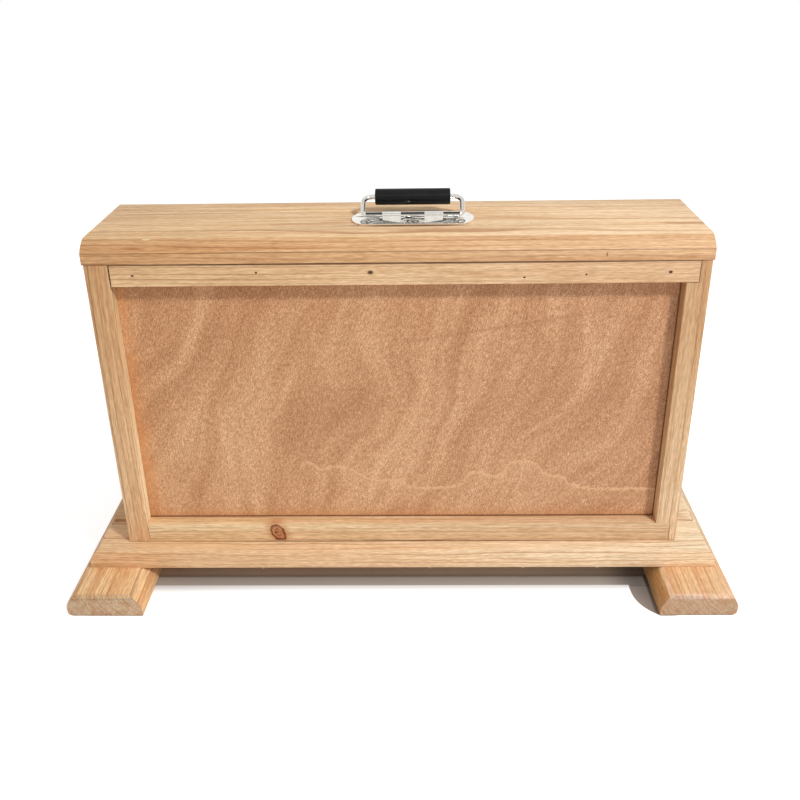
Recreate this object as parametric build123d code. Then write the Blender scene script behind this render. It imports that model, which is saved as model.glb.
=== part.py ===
from build123d import *
from math import atan2, cos, radians, sin, sqrt
import os

# Observation hive for one deep comb frame, in millimetres.
# X runs along the hive, Y from front to back and Z up.
# The origin is on the floor, under the middle of the body.

# Free gaps and fits
slide_gap = 0.3
face_gap = 0.3
running_gap = 0.08

# Boards
board = 19.0
body_width = 505.0
body_depth = 120.0
body_height = 268.0

# Feet
foot_thickness = 21.5
foot_width = 68.0
foot_length = 234.0
feet_span = 596.0
foot_chamfer = 3.5

# Rounded edges of the feet: how far each reaches in at the top, and how high it starts
foot_outer_reach = 11.0
foot_outer_rise = 8.0
foot_outer_round = 5.0
foot_inner_reach = 11.0
foot_inner_rise = 2.5
foot_inner_round = 1.5

# Base board
base_length = 573.0
base_depth = 150.0
base_end_reach = 8.8
base_end_rise = 6.0

# Lid and the profile along its front edge
lid_length = 508.0
lid_edge_depth = 13.2
lid_edge_height = 9.5
lid_edge_bulge = 1.2

# Rails under the shutters
rail_height = 19.0
rail_depth = 24.0
rail_end_lap = 13.0
panel_seat_depth = 8.0

# Shutters
panel_thickness = 6.0
panel_recess = 13.5
panel_groove_depth = 5.0
panel_top_gap = 1.0
strip_height = 18.0
strip_top_gap = 0.5
strip_end_lap = 10.1
strip_left_gap = 1.5
brad_radius = 0.8
brad_length = 16.0
brads = [(-213.7, -8.5), (-113.0, -6.8), (-20.7, -7.3), (103.1, -12.6), (152.6, -10.5), (219.8, -9.0)]

# Glass
glass_thickness = 3.0
glass_offset = 24.0
glass_groove = 4.0
glass_groove_depth = 6.0
glass_wall_groove_depth = 5.0
glass_top_gap = 0.5
groove_left_end = 276.5

# Comb frame
frame_height = 232.0
frame_length = 448.0
frame_top_space = 6.0
lug_span = 483.0
lug_thickness = 10.0
lug_seat_depth = 9.0
top_bar_width = 27.0
top_bar_thickness = 19.0
side_bar_width = 35.0
side_bar_lower_width = 25.0
side_bar_shoulder = 85.0
side_bar_taper = 12.0
side_bar_thickness = 9.5
side_bar_top_step = 1.0
bottom_bar_width = 19.0
bottom_bar_thickness = 10.0
foundation_thickness = 1.6
foundation_tongue = 3.0
wire_radius = 0.25
wire_count = 4
frame_nail_radius = 0.8
frame_nail_length = 30.0
frame_nail_offset = 8.0

# Entrance
entrance_radius = 9.5
entrance_height = 15.5
disc_radius = 27.5
disc_thickness = 1.5
disc_offset = 15.0
disc_opening_radius = 10.0
disc_vent_radius = 1.4
disc_vent_ring = 5.0
disc_tab_reach = 7.0
disc_tab_width = 12.0
pivot_radius = 2.0
pivot_head_radius = 4.5
pivot_head_height = 2.2
pivot_length = 16.0

# Air holes
vent_radius = 12.5
vent_height = 204.5
screen_radius = 19.0
screen_thickness = 1.0
screen_hole_radius = 1.2
screen_hole_pitch = 3.4
screen_rings = 3
screen_screw_offset = 15.6
screen_screw_radius = 1.2
screen_screw_head = 2.4
screen_screw_length = 12.0

# Lid dowels
dowel_radius = 3.0
dowel_depth = 14.0
dowel_reach = 9.5

# Hook latches
hook_width = 11.0
hook_thickness = 2.0
hook_reach = 34.0
hook_tail = 7.0
hook_slot_half = 2.8
hook_angle = 25.0
hook_drop = 9.5
latch_screw_radius = 2.0
latch_head_radius = 4.2
latch_head_height = 2.0
latch_screw_length = 16.0

# Handle
handle_x = 13.4
plate_length = 103.5
plate_depth = 38.8
plate_thickness = 1.5
plate_end_bulge = 8.5
plate_corner = 3.0
rod_radius = 2.1
rod_height = 4.1
rod_span = 84.8
bail_reach = 21.5
bail_upper_bend = 7.2
bail_lower_bend = 4.0
bail_lean = 30.0
knuckle_wall = 1.1
knuckle_inner = 10.0
knuckle_outer = 25.5
grip_length = 64.5
grip_radius = 6.9
grip_chamfer = 0.7
handle_screw_x = 39.0
handle_screw_y = 12.0
handle_screw_radius = 1.9
handle_screw_head = 3.8
handle_screw_length = 14.0
recess_width = 0.9
recess_span = 4.4
recess_depth = 1.0

# Structural screws
screw_radius = 2.1
screw_head = 4.2
screw_tip = 5.0
end_screw_length = 45.0
foot_screw_length = 34.0
foot_screw_spacing = 45.0
foot_screw_sink = 0.5
rail_screw_length = 32.0
rail_screw_spacing = 150.0
rail_screw_inset = 7.0

# Levels worked out from the sizes above
base_top = foot_thickness + board
body_top = base_top + body_height
lid_top = body_top + board
half_width = body_width / 2
inner_half = half_width - board
half_depth = body_depth / 2
rail_top = base_top + rail_height
panel_front = half_depth - panel_recess
panel_back = panel_front - panel_thickness
panel_bottom = rail_top - panel_seat_depth
panel_top = body_top - panel_top_gap
panel_half = inner_half + panel_groove_depth - slide_gap
strip_top = body_top - strip_top_gap
strip_bottom = strip_top - strip_height
strip_right = inner_half + strip_end_lap
frame_top = body_top - frame_top_space
frame_bottom = frame_top - frame_height
lug_seat = frame_top - lug_thickness
frame_half = frame_length / 2
bar_inner = frame_half - side_bar_thickness
entrance_z = base_top + entrance_height
disc_z = entrance_z + disc_offset
vent_z = base_top + vent_height
hook_z = body_top + hook_drop
rod_z = lid_top + rod_height
foot_x = (feet_span - foot_width) / 2
end_screw_x = half_width - board / 2
lid_half = lid_length / 2
lid_overhang = lid_half - half_width
hook_space = hook_thickness + 2 * face_gap
glass_outer = glass_offset + glass_groove / 2
end_screw_y = (glass_outer + half_depth - rail_depth) / 2
dowel_y = (glass_outer + panel_back - slide_gap) / 2


def block(x0, x1, y0, y1, z0, z1):
    """A box between two opposite corners."""
    centre = Pos((x0 + x1) / 2, (y0 + y1) / 2, (z0 + z1) / 2)
    return centre * Box(x1 - x0, y1 - y0, z1 - z0)


def group(solids):
    """Separate solids that share one node."""
    return Compound(children=[piece for solid in solids for piece in solid.solids()])


def rounded_edge(half, thickness, reach, rise):
    """The curve that leaves a board's right side upright and meets its top at a crisp arris."""
    height = thickness - rise
    radius = (reach**2 + height**2) / (2 * reach)
    bend = atan2(height, radius - reach) / 2
    middle = (half - radius + radius * cos(bend), rise + radius * sin(bend))
    return ThreePointArc((half, rise), middle, (half - reach, thickness))


def rounded_board(width, thickness, length, left, right):
    """A board along Y with rounded upper edges; left and right are each a reach and a rise."""
    half = width / 2
    outline = Line((-half, 0), (half, 0))
    outline += Line((half, 0), (half, right[1]))
    outline += rounded_edge(half, thickness, *right)
    outline += Line((half - right[0], thickness), (left[0] - half, thickness))
    outline += mirror(rounded_edge(half, thickness, *left), Plane.YZ)
    outline += Line((-half, left[1]), (-half, 0))
    face = make_face(Plane.XZ * outline)
    return Pos(0, -length / 2, 0) * extrude(face, length, dir=(0, 1, 0))


def foot(side):
    """One foot, with a bullnose outside, a slope inside and a chamfer across each end."""
    inner = (foot_inner_reach, foot_inner_rise)
    outer = (foot_outer_reach, foot_outer_rise)
    solid = rounded_board(foot_width, foot_thickness, foot_length, inner, outer)
    solid = fillet(solid.edges().filter_by(Axis.Y).group_by(Axis.Z)[0].sort_by(Axis.X)[-1], foot_outer_round)
    solid = fillet(solid.edges().filter_by(Axis.Y).group_by(Axis.Z)[0].sort_by(Axis.X)[0], foot_inner_round)
    corner = foot_length / 2
    wedge = make_face(Plane.YZ * Polyline(
        (corner - foot_chamfer, foot_thickness),
        (corner + foot_chamfer, foot_thickness + foot_chamfer),
        (corner + foot_chamfer, foot_thickness - 2 * foot_chamfer),
        close=True,
    ))
    cutter = Pos(-foot_width, 0, 0) * extrude(wedge, 2 * foot_width, dir=(1, 0, 0))
    solid -= cutter + mirror(cutter, Plane.XZ)
    if side < 0:
        solid = mirror(solid, Plane.YZ)
    return Pos(side * foot_x, 0, 0) * solid


def lid():
    """The lid board, profiled along its front upper edge."""
    edge = lid_edge_depth - half_depth
    low = board - lid_edge_height
    run = sqrt(lid_edge_depth**2 + lid_edge_height**2)
    mid_y = lid_edge_depth / 2 - half_depth - lid_edge_bulge * lid_edge_height / run
    mid_z = board - lid_edge_height / 2 + lid_edge_bulge * lid_edge_depth / run
    outline = Polyline((-half_depth, low), (-half_depth, 0), (half_depth, 0), (half_depth, board), (edge, board))
    outline += ThreePointArc((edge, board), (mid_y, mid_z), (-half_depth, low))
    face = make_face(Plane.YZ * outline)
    solid = Pos(-lid_half, 0, body_top) * extrude(face, lid_length, dir=(1, 0, 0))
    for x in (-end_screw_x, end_screw_x):
        for y in (-dowel_y, dowel_y):
            depth = dowel_reach + face_gap
            solid -= Pos(x, y, body_top + depth / 2) * Cylinder(dowel_radius + slide_gap, depth)
    return solid


def screw(radius, head, length, recess):
    """A countersunk screw down Z, with the flat of its head at the origin."""
    profile = Polyline(
        (0, 0), (head, 0), (radius, radius - head), (radius, screw_tip - length), (0, -length),
        close=True,
    )
    solid = revolve(make_face(Plane.XZ * profile), Axis.Z)
    if recess:
        for turn in (45, 135):
            arm = Rot(0, 0, turn) * Box(recess_span, recess_width, 2 * recess_depth)
            solid -= arm
    return solid


def headed_pin(radius, head, head_height, stem, length):
    """A domed pin on Z: its shank reaches length below the origin and stem above it."""
    rim = head_height / 2
    shank = Pos(0, 0, (stem - length) / 2) * Cylinder(radius, stem + length)
    cap = Pos(0, 0, stem + head_height / 2) * Cylinder(head, head_height)
    cap = fillet(cap.edges().group_by(Axis.Z)[-1], rim)
    return shank + cap


def on_end(side, y, z):
    """Place a piece on an end board's outer face, with its Z pointing outwards."""
    return Pos(side * half_width, y, z) * Rot(0, 90 * side, 0)


def strip_brads(face):
    """The brads of one shutter, from the strip's face into the panel."""
    y = face * (half_depth - brad_length / 2)
    pin = Rot(90, 0, 0) * Cylinder(brad_radius, brad_length)
    return group([Pos(x, y, strip_top + drop) * pin for x, drop in brads])


def strip(face):
    """The top strip of a shutter, flush with the end boards."""
    y0, y1 = sorted((face * half_depth, face * panel_front))
    solid = block(strip_left_gap - inner_half, strip_right, y0, y1, strip_bottom, strip_top)
    return solid - strip_brads(face)


def panel(face):
    """The plywood panel of a shutter, which slides in the end boards' grooves."""
    y0, y1 = sorted((face * panel_front, face * panel_back))
    solid = block(-panel_half, panel_half, y0, y1, panel_bottom, panel_top)
    return solid - strip_brads(face)


def rail(face):
    """A bottom rail with the groove that seats its panel."""
    y0, y1 = sorted((face * half_depth, face * (half_depth - rail_depth)))
    solid = block(-inner_half, inner_half + rail_end_lap, y0, y1, base_top, rail_top)
    g0, g1 = sorted((face * (panel_front + slide_gap), face * (panel_back - slide_gap)))
    solid -= block(-body_width, body_width, g0, g1, panel_bottom, body_top)
    return solid - rail_screws(face)


def glass(face):
    """A pane that stands in the base's groove and runs into the end boards."""
    half = inner_half + glass_wall_groove_depth - slide_gap
    y = face * glass_offset
    low = base_top - glass_groove_depth
    high = body_top - glass_top_gap
    return block(-half, half, y - glass_thickness / 2, y + glass_thickness / 2, low, high)


def dowels():
    """Four pins that stand in the end boards and reach into the lid."""
    length = dowel_depth + dowel_reach
    centre_z = body_top + dowel_reach - length / 2
    pins = []
    for x in (-end_screw_x, end_screw_x):
        for y in (-dowel_y, dowel_y):
            pins.append(Pos(x, y, centre_z) * Cylinder(dowel_radius, length))
    return group(pins)


def end_board_screws():
    """Screws up through the base into the end boards."""
    turned = Rot(180, 0, 0) * screw(screw_radius, screw_head, end_screw_length, False)
    places = [
        (x, y)
        for x in (-end_screw_x, end_screw_x)
        for y in (-end_screw_y, end_screw_y)
    ]
    return group([Pos(x, y, foot_thickness) * turned for x, y in places])


def foot_screws():
    """Screws up through the feet into the base."""
    turned = Rot(180, 0, 0) * screw(screw_radius, screw_head, foot_screw_length, False)
    return group([Pos(x, y, foot_screw_sink) * turned for x, y in foot_screw_places()])


def foot_screw_places():
    """Two screws to each foot, either side of the middle of the base."""
    return [(x, y) for x in (-foot_x, foot_x) for y in (-foot_screw_spacing, foot_screw_spacing)]


def rail_screws(face):
    """Screws up through the base into one rail."""
    turned = Rot(180, 0, 0) * screw(screw_radius, screw_head, rail_screw_length, False)
    y = face * (half_depth - rail_screw_inset)
    places = (-rail_screw_spacing, 0, rail_screw_spacing)
    return group([Pos(x, y, foot_thickness) * turned for x in places])


def base():
    """The base board, with the two glass grooves in its top."""
    end = (base_end_reach, base_end_rise)
    solid = Pos(0, 0, foot_thickness) * rounded_board(base_length, board, base_depth, end, end)
    right = inner_half + glass_wall_groove_depth
    for face in (-1, 1):
        y = face * glass_offset
        low = base_top - glass_groove_depth
        solid -= block(-groove_left_end, right, y - glass_groove / 2, y + glass_groove / 2, low, base_top)
        solid -= rail_screws(face)
    return solid - end_board_screws() - foot_screws()


def end_board(side):
    """An end board with its grooves, its air hole and what is let into it."""
    x0, x1 = sorted((side * inner_half, side * half_width))
    solid = block(x0, x1, -half_depth, half_depth, base_top, body_top)
    for face in (-1, 1):
        g0, g1 = sorted((face * (panel_front + slide_gap), face * (panel_back - slide_gap)))
        p0, p1 = sorted((0, side * (inner_half + panel_groove_depth)))
        solid -= block(p0, p1, g0, g1, panel_bottom, body_top)
        w0, w1 = sorted((0, side * (inner_half + glass_wall_groove_depth)))
        y = face * glass_offset
        solid -= block(w0, w1, y - glass_groove / 2, y + glass_groove / 2, base_top, body_top)
    seat = top_bar_width / 2 + 5 * slide_gap
    l0, l1 = sorted((0, side * (inner_half + lug_seat_depth)))
    solid -= block(l0, l1, -seat, seat, lug_seat, body_top)
    solid -= on_end(side, 0, vent_z) * Cylinder(vent_radius, 3 * board)
    solid = solid - dowels() - end_board_screws() - vent_screws(side) - stud(side)
    if side > 0:
        for face in (-1, 1):
            y0, y1 = sorted((face * half_depth, face * panel_front))
            solid -= block(0, strip_right + slide_gap, y0, y1, strip_bottom - slide_gap, body_top)
            y0, y1 = sorted((face * half_depth, face * (half_depth - rail_depth)))
            solid -= block(0, inner_half + rail_end_lap, y0, y1, base_top, rail_top)
    else:
        solid -= on_end(side, 0, entrance_z) * Cylinder(entrance_radius, 3 * board)
        solid -= entrance_pivot()
    return solid


def screen_holes():
    """The places of a screen's holes: a centre hole and rings of six sides."""
    places = [(0, 0)]
    for ring in range(1, screen_rings + 1):
        for corner in range(6):
            for step in range(ring):
                a = radians(60 * corner)
                b = radians(60 * corner + 120)
                u = screen_hole_pitch * (ring * cos(a) + step * cos(b))
                v = screen_hole_pitch * (ring * sin(a) + step * sin(b))
                places.append((u, v))
    return places


def vent_screen(side):
    """A perforated screen over the air hole of one end board."""
    disc = Pos(0, 0, screen_thickness / 2) * Cylinder(screen_radius, screen_thickness)
    for u, v in screen_holes():
        disc -= Pos(u, v, 0) * Cylinder(screen_hole_radius, 3 * screen_thickness)
    return on_end(side, 0, vent_z) * disc - vent_screws(side)


def vent_screws(side):
    """The two screws of one screen."""
    pin = headed_pin(
        screen_screw_radius, screen_screw_head, screen_screw_radius, screen_thickness, screen_screw_length
    )
    return group([
        on_end(side, y, vent_z) * pin for y in (-screen_screw_offset, screen_screw_offset)
    ])


def entrance_pivot():
    """The screw that the entrance disc turns on."""
    stem = disc_thickness + 2 * face_gap
    pin = headed_pin(pivot_radius, pivot_head_radius, pivot_head_height, stem, pivot_length)
    return on_end(-1, 0, disc_z) * pin


def entrance_disc():
    """The turning disc: an open hole at the bottom, a group of small holes and a thumb tab."""
    disc = Cylinder(disc_radius, disc_thickness)
    disc += Pos(disc_radius, 0, 0) * Box(2 * disc_tab_reach, disc_tab_width, disc_thickness)
    disc -= Cylinder(pivot_radius + running_gap, 2 * disc_thickness)
    disc -= Pos(-disc_offset, 0, 0) * Cylinder(disc_opening_radius, 2 * disc_thickness)
    vent = Cylinder(disc_vent_radius, 2 * disc_thickness)
    disc -= Pos(0, disc_offset, 0) * vent
    for turn in range(0, 360, 60):
        disc -= Pos(0, disc_offset, 0) * Rot(0, 0, turn) * Pos(disc_vent_ring, 0, 0) * vent
    return on_end(-1, 0, disc_z) * Pos(0, 0, face_gap + disc_thickness / 2) * disc


def stud_place():
    """Where a hook's slot meets its stud, measured from the hook's pivot."""
    turn = radians(hook_angle)
    return hook_reach * sin(turn), -hook_reach * cos(turn)


def latch_pin(stem):
    """The shouldered screw used as hook pivot and as stud, with its bare length under the head."""
    return headed_pin(latch_screw_radius, latch_head_radius, latch_head_height, stem, latch_screw_length)


def stud(side):
    """The stud in the end board that a hook closes on."""
    y, z = stud_place()
    return on_end(side, y, hook_z + z) * latch_pin(hook_space + lid_overhang)


def hook_pivot(side):
    """The screw in the lid's end that a hook swings on."""
    return Pos(side * lid_overhang, 0, 0) * on_end(side, 0, hook_z) * latch_pin(hook_space)


def hook(side):
    """A flat hook that hangs from the lid's end, with a slot in its rear edge."""
    half = hook_width / 2
    length = hook_reach + hook_tail
    arm = Pos(0, -length / 2) * Rectangle(hook_width, length)
    shape = arm + Circle(half) + Pos(0, -length) * Circle(half)
    shape -= Circle(latch_screw_radius + running_gap)
    slot = Pos(0, -hook_reach) * Circle(hook_slot_half)
    slot += Pos(half, -hook_reach) * Rectangle(hook_width, 2 * hook_slot_half)
    shape -= slot
    flat = Plane.YZ * shape
    x = lid_half + face_gap
    start = x if side > 0 else -x - hook_thickness
    return Pos(start, 0, hook_z) * extrude(flat, hook_thickness, dir=(1, 0, 0))


def frame_nails():
    """Nails down through the top bar and up through the bottom bar."""
    nails = []
    x = frame_half - side_bar_thickness / 2
    nail = Cylinder(frame_nail_radius, frame_nail_length)
    for side in (-1, 1):
        for y in (-frame_nail_offset, frame_nail_offset):
            nails.append(Pos(side * x, y, frame_top - frame_nail_length / 2) * nail)
        nails.append(Pos(side * x, 0, frame_bottom + frame_nail_length / 2) * nail)
    return group(nails)


def frame_wires():
    """Straight wires across the frame, set into the foundation."""
    span = frame_height - top_bar_thickness - bottom_bar_thickness
    start = frame_bottom + bottom_bar_thickness
    wires = []
    for number in range(1, wire_count + 1):
        z = start + span * number / (wire_count + 1)
        wires.append(Pos(0, 0, z) * Rot(0, 90, 0) * Cylinder(wire_radius, frame_length))
    return group(wires)


def bare_top_bar():
    """The top bar with its thinner lugs, before it is nailed."""
    half = top_bar_width / 2
    lugs = block(-lug_span / 2, lug_span / 2, -half, half, lug_seat, frame_top)
    return lugs + block(-bar_inner, bar_inner, -half, half, frame_top - top_bar_thickness, frame_top)


def bare_bottom_bar():
    """The bottom bar before it is nailed."""
    half = bottom_bar_width / 2
    top = frame_bottom + bottom_bar_thickness
    return block(-frame_half, frame_half, -half, half, frame_bottom, top)


def foundation():
    """The wax sheet, let into the top bar and stood on the bottom bar."""
    half = bar_inner - slide_gap
    low = frame_bottom + bottom_bar_thickness
    high = frame_top - top_bar_thickness + foundation_tongue
    return block(-half, half, -foundation_thickness / 2, foundation_thickness / 2, low, high) - frame_wires()


def top_bar():
    """The top bar, grooved for the foundation."""
    half = bar_inner - slide_gap
    low = frame_top - top_bar_thickness
    groove = block(
        -half, half, -foundation_thickness / 2, foundation_thickness / 2, low, low + foundation_tongue
    )
    return bare_top_bar() - groove - frame_nails()


def bottom_bar():
    """The bottom bar."""
    return bare_bottom_bar() - frame_nails()


def side_bar(side):
    """A side bar, wide at its shoulders and notched for the other bars."""
    wide = side_bar_width / 2
    narrow = side_bar_lower_width / 2
    top = frame_top - side_bar_top_step
    shoulder = frame_top - side_bar_shoulder
    outline = Polyline(
        (-wide, top), (wide, top), (wide, shoulder), (narrow, shoulder - side_bar_taper),
        (narrow, frame_bottom), (-narrow, frame_bottom), (-narrow, shoulder - side_bar_taper),
        (-wide, shoulder), close=True,
    )
    start = bar_inner if side > 0 else -frame_half
    bar = extrude(make_face(Plane.YZ * outline), side_bar_thickness, dir=(1, 0, 0))
    solid = Pos(start, 0, 0) * bar
    return solid - bare_top_bar() - bare_bottom_bar() - frame_nails() - frame_wires()


def handle_screws(recess):
    """Six countersunk screws: plain to cut their holes, or with crossed recesses."""
    pin = screw(handle_screw_radius, handle_screw_head, handle_screw_length, recess)
    top = lid_top + plate_thickness
    places = [
        (x, y)
        for x in (-handle_screw_x, 0, handle_screw_x)
        for y in (-handle_screw_y, handle_screw_y)
    ]
    return group([Pos(handle_x + x, y, top) * pin for x, y in places])


def handle_plate():
    """The plate with its bowed ends and the two knuckles round the bail's lower rod."""
    straight = plate_length / 2 - plate_end_bulge
    half = plate_depth / 2
    outline = Line((-straight, -half), (straight, -half))
    outline += ThreePointArc((straight, -half), (plate_length / 2, 0), (straight, half))
    outline += Line((straight, half), (-straight, half))
    outline += ThreePointArc((-straight, half), (-plate_length / 2, 0), (-straight, -half))
    sketch = make_face(outline)
    sketch = fillet(sketch.vertices(), plate_corner)
    solid = Pos(handle_x, 0, lid_top) * extrude(sketch, plate_thickness)
    outer = rod_radius + running_gap + knuckle_wall
    length = knuckle_outer - knuckle_inner
    for side in (-1, 1):
        x = handle_x + side * (knuckle_outer + knuckle_inner) / 2
        tube = Pos(x, 0, rod_z) * Rot(0, 90, 0) * Cylinder(outer, length)
        web = block(x - length / 2, x + length / 2, -outer, outer, lid_top, rod_z)
        solid += tube + web
    bore = Pos(handle_x, 0, rod_z) * Rot(0, 90, 0) * Cylinder(rod_radius + running_gap, plate_length)
    return solid - bore - handle_screws(False)


def bail_place():
    """The bail's own plane: its x along the hive, its y from the rod to the grip."""
    return Pos(handle_x, 0, rod_z) * Rot(bail_lean, 0, 0)


def bail():
    """The round bar bent into a closed loop through the knuckles and the grip."""
    half = rod_span / 2
    up = bail_upper_bend
    low = bail_lower_bend
    turn = sqrt(0.5)
    top = bail_reach
    path = Line((0, 0), (half - low, 0))
    path += ThreePointArc(
        (half - low, 0), (half - low + low * turn, low - low * turn), (half, low)
    )
    path += Line((half, low), (half, top - up))
    path += ThreePointArc(
        (half, top - up), (half - up + up * turn, top - up + up * turn), (half - up, top)
    )
    path += Line((half - up, top), (0, top))
    section = Plane.YZ * Circle(rod_radius)
    right = sweep(section, path=path)
    loop = right + mirror(right, Plane.YZ)
    return bail_place() * loop


def grip():
    """The rubber sleeve on the bail's upper rod."""
    sleeve = Cylinder(grip_radius, grip_length)
    sleeve = chamfer(sleeve.edges().filter_by(GeomType.CIRCLE), grip_chamfer)
    sleeve -= Cylinder(rod_radius, 2 * grip_length)
    return bail_place() * Pos(0, bail_reach, 0) * Rot(0, 90, 0) * sleeve


def lid_board():
    """The lid with the holes of what is screwed to it."""
    return lid() - handle_screws(False) - hook_pivot(-1) - hook_pivot(1)


def foot_board(side):
    """A foot with the holes of its screws."""
    solid = foot(side) - foot_screws()
    for x, y in foot_screw_places():
        solid -= Pos(x, y, 0) * Cylinder(screw_head, 2 * foot_screw_sink)
    return solid


def build():
    """Every node of the hive under its name."""
    nodes = {
        "left_foot": foot_board(-1),
        "right_foot": foot_board(1),
        "base_board": base(),
        "left_end_board": end_board(-1),
        "right_end_board": end_board(1),
        "front_rail": rail(-1),
        "rear_rail": rail(1),
        "front_glass": glass(-1),
        "rear_glass": glass(1),
        "lid_dowels": dowels(),
        "foot_screws": foot_screws(),
        "end_board_screws": end_board_screws(),
        "rail_screws": group([rail_screws(-1), rail_screws(1)]),
        "left_vent_screen": vent_screen(-1),
        "right_vent_screen": vent_screen(1),
        "vent_screws": group([vent_screws(-1), vent_screws(1)]),
        "entrance_pivot": entrance_pivot(),
        "entrance_disc": entrance_disc(),
        "left_stud": stud(-1),
        "right_stud": stud(1),
        "left_hook": hook(-1),
        "right_hook": hook(1),
        "left_hook_pivot": hook_pivot(-1),
        "right_hook_pivot": hook_pivot(1),
        "front_shutter_panel": panel(-1),
        "front_shutter_strip": strip(-1),
        "front_shutter_brads": strip_brads(-1),
        "rear_shutter_panel": panel(1),
        "rear_shutter_strip": strip(1),
        "rear_shutter_brads": strip_brads(1),
        "top_bar": top_bar(),
        "bottom_bar": bottom_bar(),
        "left_side_bar": side_bar(-1),
        "right_side_bar": side_bar(1),
        "foundation": foundation(),
        "frame_wires": frame_wires(),
        "frame_nails": frame_nails(),
        "lid_board": lid_board(),
        "handle_plate": handle_plate(),
        "handle_screws": handle_screws(True),
        "handle_bail": bail(),
        "handle_grip": grip(),
    }
    return nodes


os.makedirs("parts", exist_ok=True)
for name, solid in build().items():
    export_step(solid, f"parts/{name}.step")
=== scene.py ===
import logging
import math
from dataclasses import dataclass, replace
from enum import Enum
from functools import reduce

import bmesh
import bpy
from mathutils import Matrix, Vector


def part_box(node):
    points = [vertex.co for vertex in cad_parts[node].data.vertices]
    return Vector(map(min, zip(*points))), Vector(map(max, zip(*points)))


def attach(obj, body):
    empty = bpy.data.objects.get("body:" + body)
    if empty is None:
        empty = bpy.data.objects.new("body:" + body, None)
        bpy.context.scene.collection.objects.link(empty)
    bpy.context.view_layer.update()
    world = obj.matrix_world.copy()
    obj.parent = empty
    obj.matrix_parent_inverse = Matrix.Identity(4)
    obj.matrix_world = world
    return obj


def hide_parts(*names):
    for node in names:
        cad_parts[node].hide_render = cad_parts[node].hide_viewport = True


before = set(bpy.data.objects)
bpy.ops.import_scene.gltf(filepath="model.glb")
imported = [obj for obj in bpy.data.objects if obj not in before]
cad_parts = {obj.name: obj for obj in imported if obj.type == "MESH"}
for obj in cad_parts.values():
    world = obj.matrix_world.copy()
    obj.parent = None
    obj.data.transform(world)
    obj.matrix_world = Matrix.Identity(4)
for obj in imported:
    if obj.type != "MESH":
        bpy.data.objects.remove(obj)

log = logging.getLogger("hive")

MM = 0.001

FRONT = (0.0, -1.0, 0.0)
LEFT = (-1.0, 0.0, 0.0)
RIGHT = (1.0, 0.0, 0.0)
TOP = (0.0, 0.0, 1.0)
CHAMFER = (0.0, -0.7071, 0.7071)

Socket = bpy.types.NodeSocket
Material = bpy.types.Material
Mesh = bmesh.types.BMesh
Pair = tuple[float, float]
Triple = tuple[float, float, float]
Colour = tuple[float, float, float, float]
WHITE: Colour = (1.0, 1.0, 1.0, 1.0)


class Grain(Enum):
    """The row axis that the fibres of a board follow."""

    LENGTH = (0, 1, 2)
    DEPTH = (1, 0, 2)
    UPRIGHT = (2, 0, 1)


def srgb(red: float, green: float, blue: float) -> Colour:
    """Turn a colour as a screen shows it, 0 to 255, into a linear one.

    Args:
        red: The red share.
        green: The green share.
        blue: The blue share.

    Returns:
        The linear colour with full opacity.
    """
    parts = [value / 255 for value in (red, green, blue)]
    linear = [part / 12.92 if part <= 0.04045 else ((part + 0.055) / 1.055) ** 2.4 for part in parts]
    return (*linear, 1.0)


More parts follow.
